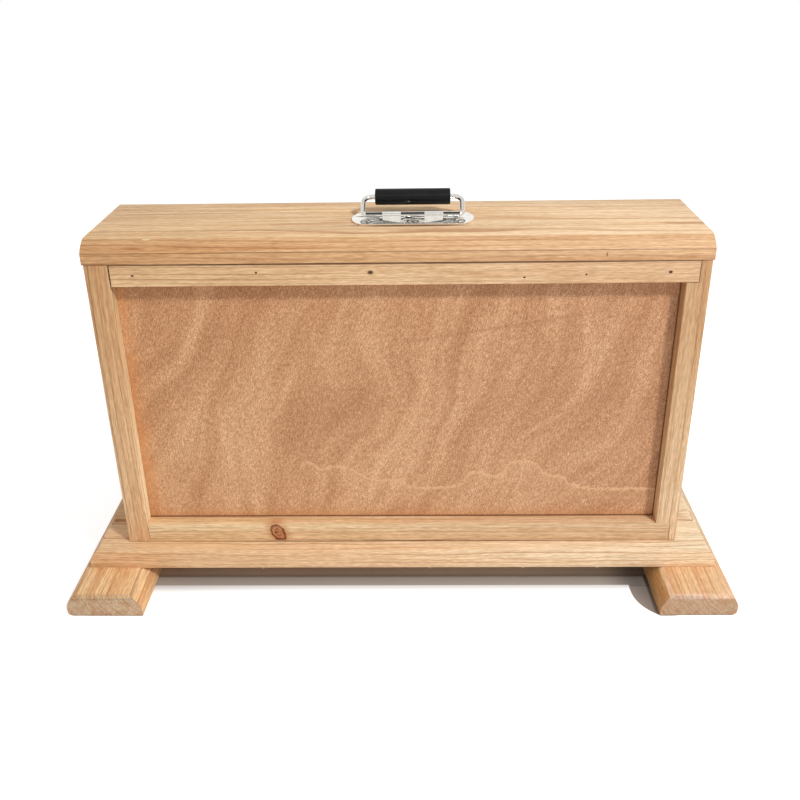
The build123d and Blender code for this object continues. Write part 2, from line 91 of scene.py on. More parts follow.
class Tree:
    """A node tree, with short calls for the nodes that it is made of."""

    stain_green: float = 1.35
    stain_blue: float = 1.75

    def __init__(self, tree: bpy.types.NodeTree) -> None:
        """Hold the tree and add its coordinates.

        Args:
            tree: The tree.
        """
        self.tree = tree
        self.place = tree.nodes.new("ShaderNodeTexCoord")
        self.here = self.place.outputs["Object"]
        self.normal = self.place.outputs["Normal"]

    def feed(self, socket: Socket, value: object) -> None:
        """Link a socket or set its value.

        Args:
            socket: The input.
            value: Another node's output, or a number, vector or colour.
        """
        if isinstance(value, Socket):
            self.tree.links.new(value, socket)
        else:
            socket.default_value = value

    def add(self, kind: str, inputs: dict, output: int | str = 0, **settings: object) -> Socket:
        """Add a node.

        Args:
            kind: The node's type.
            inputs: Its inputs, by name or number.
            output: The output to return.
            **settings: The node's own properties.

        Returns:
            The output.
        """
        node = self.tree.nodes.new(kind)
        for key, value in settings.items():
            setattr(node, key, value)
        for key, value in inputs.items():
            self.feed(node.inputs[key], value)
        return node.outputs[output]

    def math(self, operation: str, *values: object) -> Socket:
        """Apply a math operation to sockets or numbers."""
        return self.add("ShaderNodeMath", dict(enumerate(values)), operation=operation)

    def times(self, *values: object) -> Socket:
        """Multiply numbers with one another."""
        return reduce(lambda first, second: self.math("MULTIPLY", first, second), values)

    def plus(self, *values: object) -> Socket:
        """Add numbers up."""
        return reduce(lambda first, second: self.math("ADD", first, second), values)

    def minus(self, first: object, second: object) -> Socket:
        """Take the second number from the first."""
        return self.math("SUBTRACT", first, second)

    def size(self, value: Socket) -> Socket:
        """Drop a number's sign."""
        return self.math("ABSOLUTE", value)

    def gap(self, first: object, second: object) -> Socket:
        """Measure how far two numbers are apart."""
        return self.size(self.minus(first, second))

    def most(self, *values: object) -> Socket:
        """Pick the largest of the numbers."""
        return reduce(lambda first, second: self.math("MAXIMUM", first, second), values)

    def vector(self, operation: str, *values: object) -> Socket:
        """Apply a vector operation, and return its number where it gives one."""
        output = "Value" if operation in ("LENGTH", "DOT_PRODUCT") else "Vector"
        return self.add("ShaderNodeVectorMath", dict(enumerate(values)), output, operation=operation)

    def axes(self, vector: Socket) -> tuple[Socket, Socket, Socket]:
        """Split a vector.

        Args:
            vector: The vector.

        Returns:
            Its x, y and z.
        """
        node = self.tree.nodes.new("ShaderNodeSeparateXYZ")
        self.feed(node.inputs[0], vector)
        return node.outputs[0], node.outputs[1], node.outputs[2]

    def join(self, x: object, y: object, z: object) -> Socket:
        """Combine three numbers into a vector."""
        return self.add("ShaderNodeCombineXYZ", {0: x, 1: y, 2: z})

    def noise(self, vector: Socket, stretch: Triple, detail: float = 2.0, rough: float = 0.5) -> Socket:
        """Add cloudy noise.

        Args:
            vector: The coordinates in metres.
            stretch: The waves per metre along each axis.
            detail: The number of finer layers.
            rough: How strong the finer layers are.

        Returns:
            The noise, mostly from 0.25 to 0.75.
        """
        scaled = self.vector("MULTIPLY", vector, stretch)
        inputs = {"Vector": scaled, "Scale": 1.0, "Detail": detail, "Roughness": rough}
        return self.add("ShaderNodeTexNoise", inputs)

    def line_noise(self, value: Socket, scale: float) -> Socket:
        """Add noise along a single number."""
        inputs = {"W": value, "Scale": scale, "Detail": 1.0}
        return self.add("ShaderNodeTexNoise", inputs, noise_dimensions="1D")

    def span(self, value: Socket, low: float, high: float, start: float = 0.0, end: float = 1.0,
             smooth: bool = True) -> Socket:
        """Map a range of a number to another range, and hold it outside.

        Args:
            value: The number.
            low: Where the range starts.
            high: Where it ends.
            start: The result at low.
            end: The result at high.
            smooth: Whether the change eases in and out.

        Returns:
            The result.
        """
        curve = "SMOOTHSTEP" if smooth else "LINEAR"
        inputs = {0: value, 1: low, 2: high, 3: start, 4: end}
        return self.add("ShaderNodeMapRange", inputs, interpolation_type=curve)

    def vary(self, noise: Socket, depth: float, middle: float = 1.0) -> Socket:
        """Turn noise into a number that sways either side of its middle."""
        return self.span(noise, 0.3, 0.7, middle - depth, middle + depth, False)

    def mix(self, share: object, first: object, second: object, blend: str = "MIX") -> Socket:
        """Mix two colours, with as much of the second as the share says."""
        inputs = {0: share, 6: first, 7: second}
        return self.add("ShaderNodeMix", inputs, 2, data_type="RGBA", blend_type=blend)

    def seen(self) -> Socket:
        """Tell rays that show a surface, 1, from the rays that carry light to others, 0."""
        rays = self.tree.nodes.new("ShaderNodeLightPath").outputs
        return self.most(rays["Is Camera Ray"], rays["Is Glossy Ray"], rays["Is Transmission Ray"])

    def shade(self, colour: object, factor: object) -> Socket:
        """Multiply a colour by a number or by another colour."""
        return self.mix(1.0, colour, factor, "MULTIPLY")

    def stain(self, colour: object, factor: Socket) -> Socket:
        """Darken or lighten wood the way thicker pigment would, where blue changes most."""
        powers = (self.math("POWER", factor, power) for power in (self.stain_green, self.stain_blue))
        return self.shade(colour, self.join(factor, *powers))

    def tint(self, colour: object, share: object, factors: Triple) -> Socket:
        """Multiply a colour by factors for red, green and blue where the share says so."""
        return self.mix(share, colour, self.shade(colour, (*factors, 1.0)))

    def curve(self, value: Socket, points: list[Pair]) -> Socket:
        """Read a drawn curve.

        Args:
            value: The number that reads it, from 0 to 1.
            points: The curve's points, from 0 to 1 both ways.

        Returns:
            The curve's height.
        """
        node = self.tree.nodes.new("ShaderNodeFloatCurve")
        curve = node.mapping.curves[0]
        curve.points[0].location = points[0]
        curve.points[1].location = points[-1]
        for point in points[1:-1]:
            curve.points.new(*point)
        node.mapping.update()
        self.feed(node.inputs["Value"], value)
        return node.outputs[0]


class Nodes(Tree):
    """A material's node tree and its shader."""

    def __init__(self, name: str) -> None:
        """Start a material.

        Args:
            name: The material's name.
        """
        self.material = bpy.data.materials.new(name)
        self.material.use_nodes = True
        super().__init__(self.material.node_tree)
        self.shader = self.tree.nodes["Principled BSDF"]

    def bump(self, height: Socket, strength: float, depth: float) -> None:
        """Give the surface a fine relief of a depth in metres."""
        inputs = {"Height": height, "Strength": strength, "Distance": depth}
        self.feed(self.shader.inputs["Normal"], self.add("ShaderNodeBump", inputs))

    def coat(self, **inputs: object) -> Material:
        """Set the shader's inputs, with underscores for the spaces in their names.

        Args:
            **inputs: The inputs.

        Returns:
            The material.
        """
        for key, value in inputs.items():
            self.feed(self.shader.inputs[key.replace("_", " ")], value)
        return self.material


def millimetres(values: tuple) -> tuple:
    """Turn lengths in millimetres into metres."""
    return tuple(MM * value for value in values)


@dataclass(frozen=True)
class Mark:
    """An oval spot in a wood's surface; it draws nicks, dents, stains, a knot's eye, the brads' dark spots
    and the lines of painted shade along joints and under parts.
    """

    centre: Triple
    reach: Triple
    colour: Colour
    strength: float = 0.8
    core: float = 0.5

    def mask(self, nodes: Nodes) -> Socket:
        """Show where the mark is.

        Args:
            nodes: The finish's nodes.

        Returns:
            Its strength in the mark's middle, 0 outside.
        """
        away = nodes.vector("SUBTRACT", nodes.here, self.centre)
        shape = nodes.vector("DIVIDE", away, self.reach)
        return nodes.span(nodes.vector("LENGTH", shape), self.core, 1.0, self.strength, 0.0)


def mark(centre: Triple, reach: Triple, colour: Colour, strength: float = 0.8,
         core: float = 0.5) -> Mark:
    """Draw a mark from lengths in millimetres."""
    return Mark(millimetres(centre), millimetres(reach), colour, strength, core)


# The brown of the painted shade along joints and under parts, and of the brads' dark spots.
SHADE_AND_SPOT_BROWN = srgb(96, 60, 34)


def shade_line_and_spot(centre: Triple, reach: Triple, strength: float = 0.75) -> Mark:
    """Draw a line of painted shade along a joint or under a part, and a brad's dark spot, from lengths in
    millimetres.
    """
    return mark(centre, reach, SHADE_AND_SPOT_BROWN, strength)


@dataclass(frozen=True)
class PaintedShadeRing:
    """A ring of painted shade round a countersunk head, seen from above."""

    centre: Triple
    radius: float = 4.4 * MM
    width: float = 1.15 * MM
    core: float = 0.4
    strength: float = 0.95
    colour: Colour = srgb(16, 14, 12)

    def mask(self, nodes: Nodes) -> Socket:
        """Show where the ring is.

        Args:
            nodes: The finish's nodes.

        Returns:
            Its strength on the ring, 0 elsewhere.
        """
        away = nodes.vector("SUBTRACT", nodes.here, self.centre)
        away = nodes.vector("LENGTH", nodes.vector("MULTIPLY", away, (1.0, 1.0, 0.0)))
        off = nodes.gap(away, self.radius)
        return nodes.span(off, self.core * self.width, self.width, self.strength, 0.0)


@dataclass(frozen=True)
class PaintedShadeStrip:
    """A straight strip of painted shade and painted dark reflection on a metal part."""

    centre: Triple
    half: Triple
    colour: Colour = srgb(30, 28, 26)
    edge: float = 0.5 * MM
    strength: float = 0.98

    def mask(self, nodes: Nodes) -> Socket:
        """Show where the strip is.

        Args:
            nodes: The finish's nodes.

        Returns:
            Close to 1 on the strip, 0 elsewhere.
        """
        away = nodes.axes(nodes.vector("SUBTRACT", nodes.here, self.centre))
        sides = (nodes.span(nodes.size(part), half - self.edge, half + self.edge, self.strength, 0.0)
                 for part, half in zip(away, self.half))
        return nodes.times(*sides)


@dataclass(frozen=True)
class Side:
    """A face of a board tinted paler or darker by the way it faces; each board's tones say what it paints,
    most often painted light and shade.
    """

    toward: Triple
    factors: Triple
    low: float = 0.5
    high: float = 0.8

    def paint(self, nodes: Nodes, colour: Socket) -> Socket:
        """Tint the face over the colour so far."""
        facing = nodes.vector("DOT_PRODUCT", nodes.normal, self.toward)
        return nodes.tint(colour, nodes.span(facing, self.low, self.high), self.factors)


@dataclass(frozen=True)
class Drift:
    """A slow change of tone from one end of a board to the other."""

    axis: int
    low: float
    high: float
    start: Triple
    end: Triple

    def paint(self, nodes: Nodes, colour: Socket) -> Socket:
        """Tint the board from end to end.

        Args:
            nodes: The finish's nodes.
            colour: The board's colour.

        Returns:
            The colour.
        """
        place = nodes.axes(nodes.here)[self.axis]
        tone = nodes.mix(nodes.span(place, self.low, self.high), (*self.start, 1.0), (*self.end, 1.0))
        return nodes.shade(colour, tone)


@dataclass(frozen=True)
class Knot:
    """A sound knot with a dark rim, rings inside it and the fibres led round it."""

    centre: Triple
    reach: Triple
    eye: Triple
    rim: Colour = srgb(104, 54, 30)
    inside: Colour = srgb(198, 134, 88)
    halo: Colour = srgb(206, 146, 98)
    dark: Colour = srgb(58, 30, 18)
    eye_reach: Triple = (1.3 * MM, 4.0 * MM, 1.5 * MM)
    bend: float = 0.0035
    lean: float = 0.28
    shake: float = 0.16
    rim_place: float = 0.9
    ring_turns: float = 19.0

    def distance(self, nodes: Nodes) -> Socket:
        """Measure from the knot's middle, where 1 is its rim.

        Args:
            nodes: The finish's nodes.

        Returns:
            The distance.
        """
        away = nodes.vector("SUBTRACT", nodes.here, self.centre)
        tilt = nodes.times(nodes.axes(away)[2], self.lean)
        away = nodes.vector("ADD", away, nodes.join(tilt, 0.0, 0.0))
        wander = nodes.noise(nodes.here, (230.0, 230.0, 230.0), 2.0)
        length = nodes.vector("LENGTH", nodes.vector("DIVIDE", away, self.reach))
        return nodes.plus(length, nodes.vary(wander, self.shake, 0.0))

    def paint(self, nodes: Nodes, colour: Socket, distance: Socket) -> Socket:
        """Paint the knot over a wood's colour.

        Args:
            nodes: The finish's nodes.
            colour: The wood's colour.
            distance: The distance from distance().

        Returns:
            The colour with the knot.
        """
        colour = nodes.mix(nodes.span(distance, 0.9, 2.1, 0.75, 0.0), colour, self.halo)
        rings = nodes.math("SINE", nodes.times(distance, self.ring_turns))
        heart = nodes.mix(nodes.span(rings, 0.1, 1.0, 0.0, 0.7), self.inside, self.rim)
        colour = nodes.mix(nodes.span(distance, 0.86, 0.98, 1.0, 0.0), colour, heart)
        rim = nodes.span(nodes.gap(distance, self.rim_place), 0.03, 0.15, 0.95, 0.0)
        colour = nodes.mix(rim, colour, self.rim)
        eye = Mark(self.eye, self.eye_reach, self.dark, 0.95)
        return nodes.mix(eye.mask(nodes), colour, eye.colour)


@dataclass(frozen=True)
class WoodFinish:
    """Planed softwood: growth rings cut by the board, fine fibres, slow changes of tone, and the painted
    light and shade that some of its face tints and marks add.
    """

    name: str
    grain: Grain
    early: Colour = srgb(236, 196, 150)
    late: Colour = srgb(196, 140, 90)
    warm: Colour = srgb(222, 164, 112)
    pith: Pair = (0.05, -0.09)
    seed: float = 0.0
    ring_width: float = 0.0042
    ring_depth: float = 0.85
    ring_start: float = 0.68
    ring_drift: float = 2.4
    wander: float = 0.011
    fibre_depth: float = 0.17
    speckle_depth: float = 0.13
    streak_depth: float = 0.55
    end_tint: Colour = (0.74, 0.80, 0.92, 1.0)
    tones: tuple[Side | Drift, ...] = ()
    marks: tuple[Mark, ...] = ()
    knots: tuple[Knot, ...] = ()
    roughness: float = 0.56

    def rings(self, nodes: Nodes, board: Socket, bends: list[Socket]) -> Socket:
        """Cut the growth rings.

        Args:
            nodes: The finish's nodes.
            board: The coordinates, with the fibres along the first.
            bends: How far each knot pushes the rings aside, in metres.

        Returns:
            How much latewood shows, from 0 to 1.
        """
        slow = nodes.noise(board, (1.6, 9.0, 9.0), 3.0, 0.55)
        shift = nodes.span(slow, 0.2, 0.8, -self.wander, self.wander, False)
        centre = nodes.vector("SUBTRACT", board, (0.0, *self.pith))
        radius = nodes.vector("LENGTH", nodes.vector("MULTIPLY", centre, (0.0, 1.0, 1.0)))
        turn = nodes.times(nodes.plus(radius, shift, *bends), 1.0 / self.ring_width)
        turn = nodes.plus(turn, nodes.times(nodes.line_noise(turn, 0.31), self.ring_drift))
        part = nodes.math("FRACT", turn)
        rise = nodes.span(part, self.ring_start, 0.90)
        fall = nodes.span(part, 0.93, 1.0, 1.0, 0.0)
        fade = nodes.span(nodes.noise(board, (5.0, 70.0, 70.0), 1.0), 0.3, 0.62, 0.35, 1.0)
        strength = nodes.span(nodes.line_noise(turn, 0.83), 0.3, 0.7, 0.2, 1.0)
        return nodes.times(rise, fall, fade, strength)

    def tinted(self, nodes: Nodes, colour: Socket) -> Socket:
        """Tint the end grain, then apply the tones: face tints, which mostly paint light and shade, and
        slow changes along the board.

        Args:
            nodes: The finish's nodes.
            colour: The colour so far.

        Returns:
            The colour.
        """
        facing = nodes.size(nodes.axes(nodes.normal)[self.grain.value[0]])
        ends = nodes.mix(nodes.span(facing, 0.45, 0.65), WHITE, self.end_tint)
        colour = nodes.shade(colour, ends)
        for tone in self.tones:
            colour = tone.paint(nodes, colour)
        return colour

    def build(self) -> Material:
        """Make the material.

        Returns:
            The material.
        """
        nodes = Nodes(self.name)
        parts = nodes.axes(nodes.here)
        board = nodes.join(*(parts[index] for index in self.grain.value))
        across, through = 0.37 * self.seed, 0.61 * self.seed
        board = nodes.vector("ADD", board, (self.seed, across, through))
        centred = replace(self, pith=(self.pith[0] + across, self.pith[1] + through))
        distances = [knot.distance(nodes) for knot in self.knots]
        bends = [nodes.span(distance, 0.2, 2.6, knot.bend, 0.0)
                 for knot, distance in zip(self.knots, distances)]
        late = centred.rings(nodes, board, bends)
        fibre = nodes.noise(board, (24.0, 620.0, 620.0), 2.0, 0.7)
        streak = nodes.noise(board, (3.2, 120.0, 120.0), 3.0, 0.6)
        tone = nodes.noise(board, (2.0, 14.0, 14.0), 2.0)
        colour = nodes.mix(nodes.span(streak, 0.42, 0.66, 0.0, self.streak_depth), self.early, self.warm)
        colour = nodes.mix(nodes.times(late, self.ring_depth), colour, self.late)
        factor = nodes.span(fibre, 0.25, 0.75, 1.0 - self.fibre_depth, 1.0 + self.fibre_depth, False)
        speckle = nodes.noise(board, (130.0, 1200.0, 1200.0), 1.0)
        factor = nodes.times(factor, nodes.vary(tone, 0.05), nodes.vary(speckle, self.speckle_depth))
        colour = self.tinted(nodes, nodes.stain(colour, factor))
        for knot, distance in zip(self.knots, distances):
            colour = knot.paint(nodes, colour, distance)
        # Marks: nicks and stains, brad spots, and painted shade along joints and under parts.
        for spot in self.marks:
            colour = nodes.mix(spot.mask(nodes), colour, spot.colour)
        nodes.bump(nodes.minus(fibre, nodes.times(late, 0.4)), 0.25, 0.3 * MM)
        rough = nodes.vary(fibre, -0.05, self.roughness)
        return nodes.coat(Base_Color=colour, Roughness=rough, Specular_IOR_Level=0.35)


@dataclass(frozen=True)
class PlywoodFinish:
    """Rotary-cut reddish veneer: upright pores, cloudy flame and the edge of a contour, with painted orange
    bounce light along the foot and the left edge, and painted shade round the opening.
    """

    name: str
    base: Colour = srgb(202, 151, 110)
    dark: Colour = srgb(160, 107, 70)
    pale: Colour = srgb(230, 184, 142)
    core: Colour = srgb(206, 168, 124)
    # The orange of the painted bounce light from the rail and the left end board.
    painted_bounce: Colour = srgb(214, 148, 92)
    tones: tuple[Drift, ...] = (
        Drift(2, 0.05, 0.31, (1.065, 1.09, 1.11), (0.925, 0.89, 0.85)),
        Drift(0, -0.24, 0.24, (1.03, 1.02, 1.0), (0.97, 0.98, 1.02)),
    )
    ply: float = 1.2 * MM
    opening: Pair = (233.5 * MM, 59.5 * MM)
    bend: float = 23.0 * MM
    lean: float = -0.42
    fibre_lean: float = -0.25
    crease: Pair = (0.162, 233.1 * MM)
    curve_left: float = -91.0
    curve_right: float = 179.0
    curve_top: float = 140.0
    contour: tuple[Pair, ...] = (
        (-91, 109), (-83, 117), (-72, 110), (-56, 113), (-25, 99), (2, 97), (10, 91), (32, 90), (55, 93),
        (66, 106), (88, 102), (102, 116), (120, 116), (133, 103), (149, 100), (152, 95), (179, 88),
    )

    def above(self, nodes: Nodes, x: Socket, z: Socket) -> Socket:
        """Measure the height above the veneer's lowest contour.

        Args:
            nodes: The finish's nodes.
            x: The place along the panel.
            z: The height.

        Returns:
            The height in metres, negative below the contour.
        """
        width = self.curve_right - self.curve_left
        points = [((mm - self.curve_left) / width, level / self.curve_top) for mm, level in self.contour]
        along = nodes.span(x, MM * self.curve_left, MM * self.curve_right, 0.0, 1.0, False)
        edge = nodes.times(nodes.curve(along, points), MM * self.curve_top)
        shake = nodes.noise(nodes.join(x, 0.0, z), (330.0, 330.0, 330.0), 2.0)
        return nodes.minus(z, nodes.plus(edge, nodes.vary(shake, 2.0 * MM, 0.0)))

    def veneer(self, nodes: Nodes, x: Socket, y: Socket, z: Socket) -> Socket:
        """Paint the peeled veneer with its clouds, short fibres and pores.

        Args:
            nodes: The finish's nodes.
            x: The place along the panel.
            y: The place through it.
            z: The height.

        Returns:
            The colour.
        """
        cloud = nodes.noise(nodes.join(x, y, z), (7.0, 7.0, 8.0), 1.0)
        lean = nodes.plus(x, nodes.vary(cloud, self.bend, 0.0), nodes.times(z, self.lean))
        flame = nodes.noise(nodes.join(lean, y, z), (30.0, 9.0, 8.0), 3.0, 0.5)
        shimmer = nodes.noise(nodes.join(lean, y, z), (120.0, 75.0, 16.0), 2.0)
        grain = nodes.noise(nodes.join(x, y, z), (1500.0, 1500.0, 900.0), 1.0, 0.6)
        slant = nodes.plus(x, nodes.times(z, self.fibre_lean))
        fibre = nodes.noise(nodes.join(slant, y, z), (1100.0, 1100.0, 260.0), 1.0, 0.6)
        colour = nodes.mix(nodes.span(flame, 0.44, 0.68, 0.0, 0.40), self.base, self.pale)
        colour = nodes.mix(nodes.span(flame, 0.28, 0.50, 0.22, 0.0), colour, self.dark)
        factor = nodes.span(grain, 0.28, 0.72, 0.70, 1.30, False)
        factor = nodes.times(factor, nodes.vary(fibre, 0.20), nodes.vary(shimmer, 0.08))
        nodes.bump(grain, 0.2, 0.3 * MM)
        colour = nodes.stain(colour, factor)
        for tone in self.tones:
            colour = tone.paint(nodes, colour)
        return colour

    def figure(self, nodes: Nodes, colour: Socket, x: Socket, z: Socket) -> Socket:
        """Draw the veneer's contour, the paler wood below it and the crease above.

        Args:
            nodes: The finish's nodes.
            colour: The veneer's colour.
            x: The place along the panel.
            z: The height.

        Returns:
            The colour.
        """
        height = self.above(nodes, x, z)
        shown = nodes.span(x, -0.105, -0.075)
        line = nodes.span(nodes.size(height), 0.3 * MM, 1.8 * MM, 0.85, 0.0)
        colour = nodes.mix(nodes.times(line, shown), colour, self.pale)
        lower = nodes.times(nodes.span(height, 0.0, 1.0 * MM, 1.0, 0.0),
                            nodes.span(height, -0.022, 0.0, 0.0, 0.16))
        colour = nodes.mix(nodes.times(lower, shown), colour, self.pale)
        rise, level = self.crease
        slope = nodes.gap(z, nodes.plus(nodes.times(x, rise), level))
        crease = nodes.times(nodes.span(slope, 0.0, 2.5 * MM, 0.30, 0.0), nodes.span(x, -0.02, 0.04),
                             nodes.span(x, 0.14, 0.19, 1.0, 0.0))
        return nodes.mix(crease, colour, self.dark)

    def build(self) -> Material:
        """Make the material.

        Returns:
            The material.
        """
        nodes = Nodes(self.name)
        x, y, z = nodes.axes(nodes.here)
        colour = self.figure(nodes, self.veneer(nodes, x, y, z), x, z)
        side, foot = self.opening
        # Painted bounce light: orange near the foot of the panel and, in clouds, along its left edge.
        cloud = nodes.noise(nodes.join(x, y, z), (120.0, 120.0, 60.0), 2.0)
        edge = nodes.times(nodes.span(x, -side, -0.216, 0.62, 0.0),
                           nodes.span(cloud, 0.35, 0.65, 0.25, 1.0))
        glow = nodes.most(nodes.span(z, foot, 0.072, 0.35, 0.0), edge)
        colour = nodes.mix(glow, colour, self.painted_bounce)
        # Painted shade: a dark line along the sides and the foot of the opening, where the end boards and
        # the rail meet the panel.
        rim = nodes.math("MINIMUM", nodes.gap(x, side), nodes.gap(z, foot))
        colour = nodes.mix(nodes.span(rim, 0.6 * MM, 1.6 * MM, 0.75, 0.0), colour, SHADE_AND_SPOT_BROWN)
        colour = self.edges(nodes, colour, y)
        return nodes.coat(Base_Color=colour, Roughness=0.62, Specular_IOR_Level=0.3)

    def edges(self, nodes: Nodes, colour: Socket, y: Socket) -> Socket:
        """Show the plies on the panel's edges.

        Args:
            nodes: The finish's nodes.
            colour: The face's colour.
            y: The place through the panel.

        Returns:
            The colour.
        """
        facing = nodes.size(nodes.axes(nodes.normal)[1])
        layer = nodes.math("PINGPONG", y, self.ply)
        plies = nodes.mix(nodes.span(layer, 0.4 * self.ply, 0.6 * self.ply), self.core, self.dark)
        return nodes.mix(nodes.span(facing, 0.4, 0.6), plies, colour)


@dataclass(frozen=True)
class MetalFinish:
    """A metal with fine brushing, cloudy tone and a little tarnish, and the painted shade and dark
    reflections of its shades.
    """

    name: str
    colour: Colour
    tarnish: Colour
    roughness: float = 0.25
    clouds: float = 0.2
    stretch: Triple = (60.0, 900.0, 900.0)
    metallic: float = 1.0
    shades: tuple[PaintedShadeRing | PaintedShadeStrip, ...] = ()

    def build(self) -> Material:
        """Make the material.

        Returns:
            The material.
        """
        nodes = Nodes(self.name)
        brush = nodes.noise(nodes.here, self.stretch, 2.0)
        cloud = nodes.noise(nodes.here, (140.0, 140.0, 140.0), 3.0, 0.6)
        colour = nodes.mix(nodes.span(cloud, 0.45, 0.75, 0.0, self.clouds), self.colour, self.tarnish)
        colour = nodes.shade(colour, nodes.vary(brush, 0.03))
        # Painted shade and dark reflections: rings round screw heads and strips on the plate and the rod.
        for shade in self.shades:
            colour = nodes.mix(shade.mask(nodes), colour, shade.colour)
        rough = nodes.span(cloud, 0.3, 0.7, 0.8 * self.roughness, 1.3 * self.roughness, False)
        nodes.bump(brush, 0.06, 0.1 * MM)
        return nodes.coat(Base_Color=colour, Roughness=rough, Metallic=self.metallic)


@dataclass(frozen=True)
class RubberFinish:
    """Smooth black rubber with a faint bloom."""

    name: str = "grip_rubber"
    colour: Colour = srgb(5, 5, 6)
    bloom: Colour = srgb(11, 11, 13)

    def build(self) -> Material:
        """Make the material.

        Returns:
            The material.
        """
        nodes = Nodes(self.name)
        cloud = nodes.noise(nodes.here, (70.0, 70.0, 70.0), 3.0, 0.6)
        pebble = nodes.noise(nodes.here, (2200.0, 2200.0, 2200.0), 2.0)
        colour = nodes.mix(nodes.span(cloud, 0.4, 0.7, 0.0, 0.6), self.colour, self.bloom)
        nodes.bump(pebble, 0.15, 0.1 * MM)
        rough = nodes.vary(cloud, 0.05, 0.35)
        return nodes.coat(Base_Color=colour, Roughness=rough, Specular_IOR_Level=0.26)


@dataclass(frozen=True)
class GlassFinish:
    """Clear float glass with a faint green body and a few specks of dust."""

    name: str = "pane_glass"
    colour: Colour = (0.93, 0.98, 0.955, 1.0)

    def build(self) -> Material:
        """Make the material.

        Returns:
            The material.
        """
        nodes = Nodes(self.name)
        dust = nodes.noise(nodes.here, (420.0, 420.0, 420.0), 3.0, 0.7)
        rough = nodes.span(dust, 0.66, 0.80, 0.0, 0.25)
        return nodes.coat(Base_Color=self.colour, Roughness=rough, IOR=1.52, Transmission_Weight=1.0)


@dataclass(frozen=True)
class WaxFinish:
    """Beeswax foundation, embossed with cells on both sides."""

    name: str = "foundation_wax"
    colour: Colour = srgb(228, 178, 88)
    groove: Colour = srgb(188, 130, 52)
    cell: float = 5.4 * MM

    def build(self) -> Material:
        """Make the material.

        Returns:
            The material.
        """
        nodes = Nodes(self.name)
        x, _, z = nodes.axes(nodes.here)
        flat = nodes.join(nodes.math("DIVIDE", x, self.cell), nodes.math("DIVIDE", z, self.cell), 0.0)
        nearest = nodes.most(*(self.wall(nodes, flat, math.radians(angle)) for angle in (0, 60, 120)))
        cloud = nodes.noise(nodes.here, (30.0, 30.0, 30.0), 3.0)
        colour = nodes.mix(nodes.span(nearest, 0.55, 0.95), self.colour, self.groove)
        colour = nodes.shade(colour, nodes.span(cloud, 0.3, 0.7, 0.92, 1.06, False))
        nodes.bump(nearest, 0.6, 0.5 * MM)
        return nodes.coat(Base_Color=colour, Roughness=0.42, Subsurface_Weight=0.15)

    def wall(self, nodes: Nodes, flat: Socket, angle: float) -> Socket:
        """Wave across one of the three directions of a hexagonal net.

        Args:
            nodes: The finish's nodes.
            flat: The place on the sheet, in cells.
            angle: The direction.

        Returns:
            The wave, from 0 to 1.
        """
        across = nodes.vector("DOT_PRODUCT", flat, (math.cos(angle), math.sin(angle), 0.0))
        wave = nodes.math("COSINE", nodes.times(across, 2 * math.pi))
        return nodes.span(wave, -1.0, 1.0, 0.0, 1.0, False)


class SubAssembly:
    """What every sub-assembly of the hive shares."""

    body: str = "hive_body"
    weld: float = 0.01 * MM
    near: float = 0.02 * MM
    flat_angle: float = math.radians(0.5)
    arris_angle: float = math.radians(25)

    def coat(self, node: str, material: Material) -> None:
        """Give a CAD node a finish.

        Args:
            node: The node's name.
            material: The finish.
        """
        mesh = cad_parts[node].data
        mesh.materials.clear()
        mesh.materials.append(material)
        log.info("%s wears %s", node, material.name)

    def register(self, piece: bpy.types.Object, slot: str, *nodes: str) -> None:
        """Place a finished piece on its body, in place of its CAD nodes.

        Args:
            piece: The piece.
            slot: The record's material slot; not used.
            *nodes: The nodes that it replaces.
        """
        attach(piece, self.body)
        if nodes:
            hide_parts(*nodes)
        log.info("%s: %d faces on %s", piece.name, len(piece.data.polygons), self.body)

    def piece(self, name: str, shape: Mesh, material: Material,
              smooth: float = 30.0) -> bpy.types.Object:
        """Turn a mesh into an object with its finish.

        Args:
            name: The object's name.
            shape: The mesh, which is freed.
            material: The finish.
            smooth: The angle in degrees above which an edge stays crisp.

        Returns:
            The object.
        """
        mesh = bpy.data.meshes.new(name)
        shape.to_mesh(mesh)
        shape.free()
        mesh.shade_smooth()
        mesh.set_sharp_from_angle(angle=math.radians(smooth))
        mesh.materials.append(material)
        piece = bpy.data.objects.new(name, mesh)
        bpy.context.scene.collection.objects.link(piece)
        return piece

    def eased(self, node: str, name: str, slot: str, material: Material, width: float,
              shortest: float = 0.0) -> bpy.types.Object:
        """Copy a CAD node with its sharp arrises softened, and let the copy stand for it.

        Args:
            node: The CAD node.
            name: The new piece's name.
            slot: The record's material slot; not used.
            material: The finish.
            width: The width of the softened arris in metres.
            shortest: The shortest edge that is softened, in metres.

        Returns:
            The piece.
        """
        shape = bmesh.new()
        shape.from_mesh(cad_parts[node].data)
        bmesh.ops.remove_doubles(shape, verts=shape.verts, dist=self.weld)
        bmesh.ops.dissolve_limit(shape, angle_limit=self.flat_angle, verts=shape.verts, edges=shape.edges)
        arrises = [edge for edge in shape.edges if self.arris(edge, node, shortest)]
        bmesh.ops.bevel(shape, geom=arrises, offset=width, offset_type="OFFSET", affect="EDGES",
                        segments=2, profile=0.5, material=-1, clamp_overlap=False)
        piece = self.piece(name, shape, material)
        self.register(piece, slot, node)
        return piece

    def arris(self, edge: bmesh.types.BMEdge, node: str, shortest: float) -> bool:
        """Tell whether an edge is one of a board's outer arrises.

        Args:
            edge: The edge.
            node: The CAD node.
            shortest: The shortest edge that counts, in metres.

        Returns:
            Whether it is softened.
        """
        if len(edge.link_faces) != 2 or edge.calc_length() < shortest:
            return False
        if edge.calc_face_angle_signed(0.0) < self.arris_angle:
            return False
        return any(all(abs(vert.co[axis] - side[axis]) < self.near for vert in edge.verts)
                   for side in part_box(node) for axis in range(3))


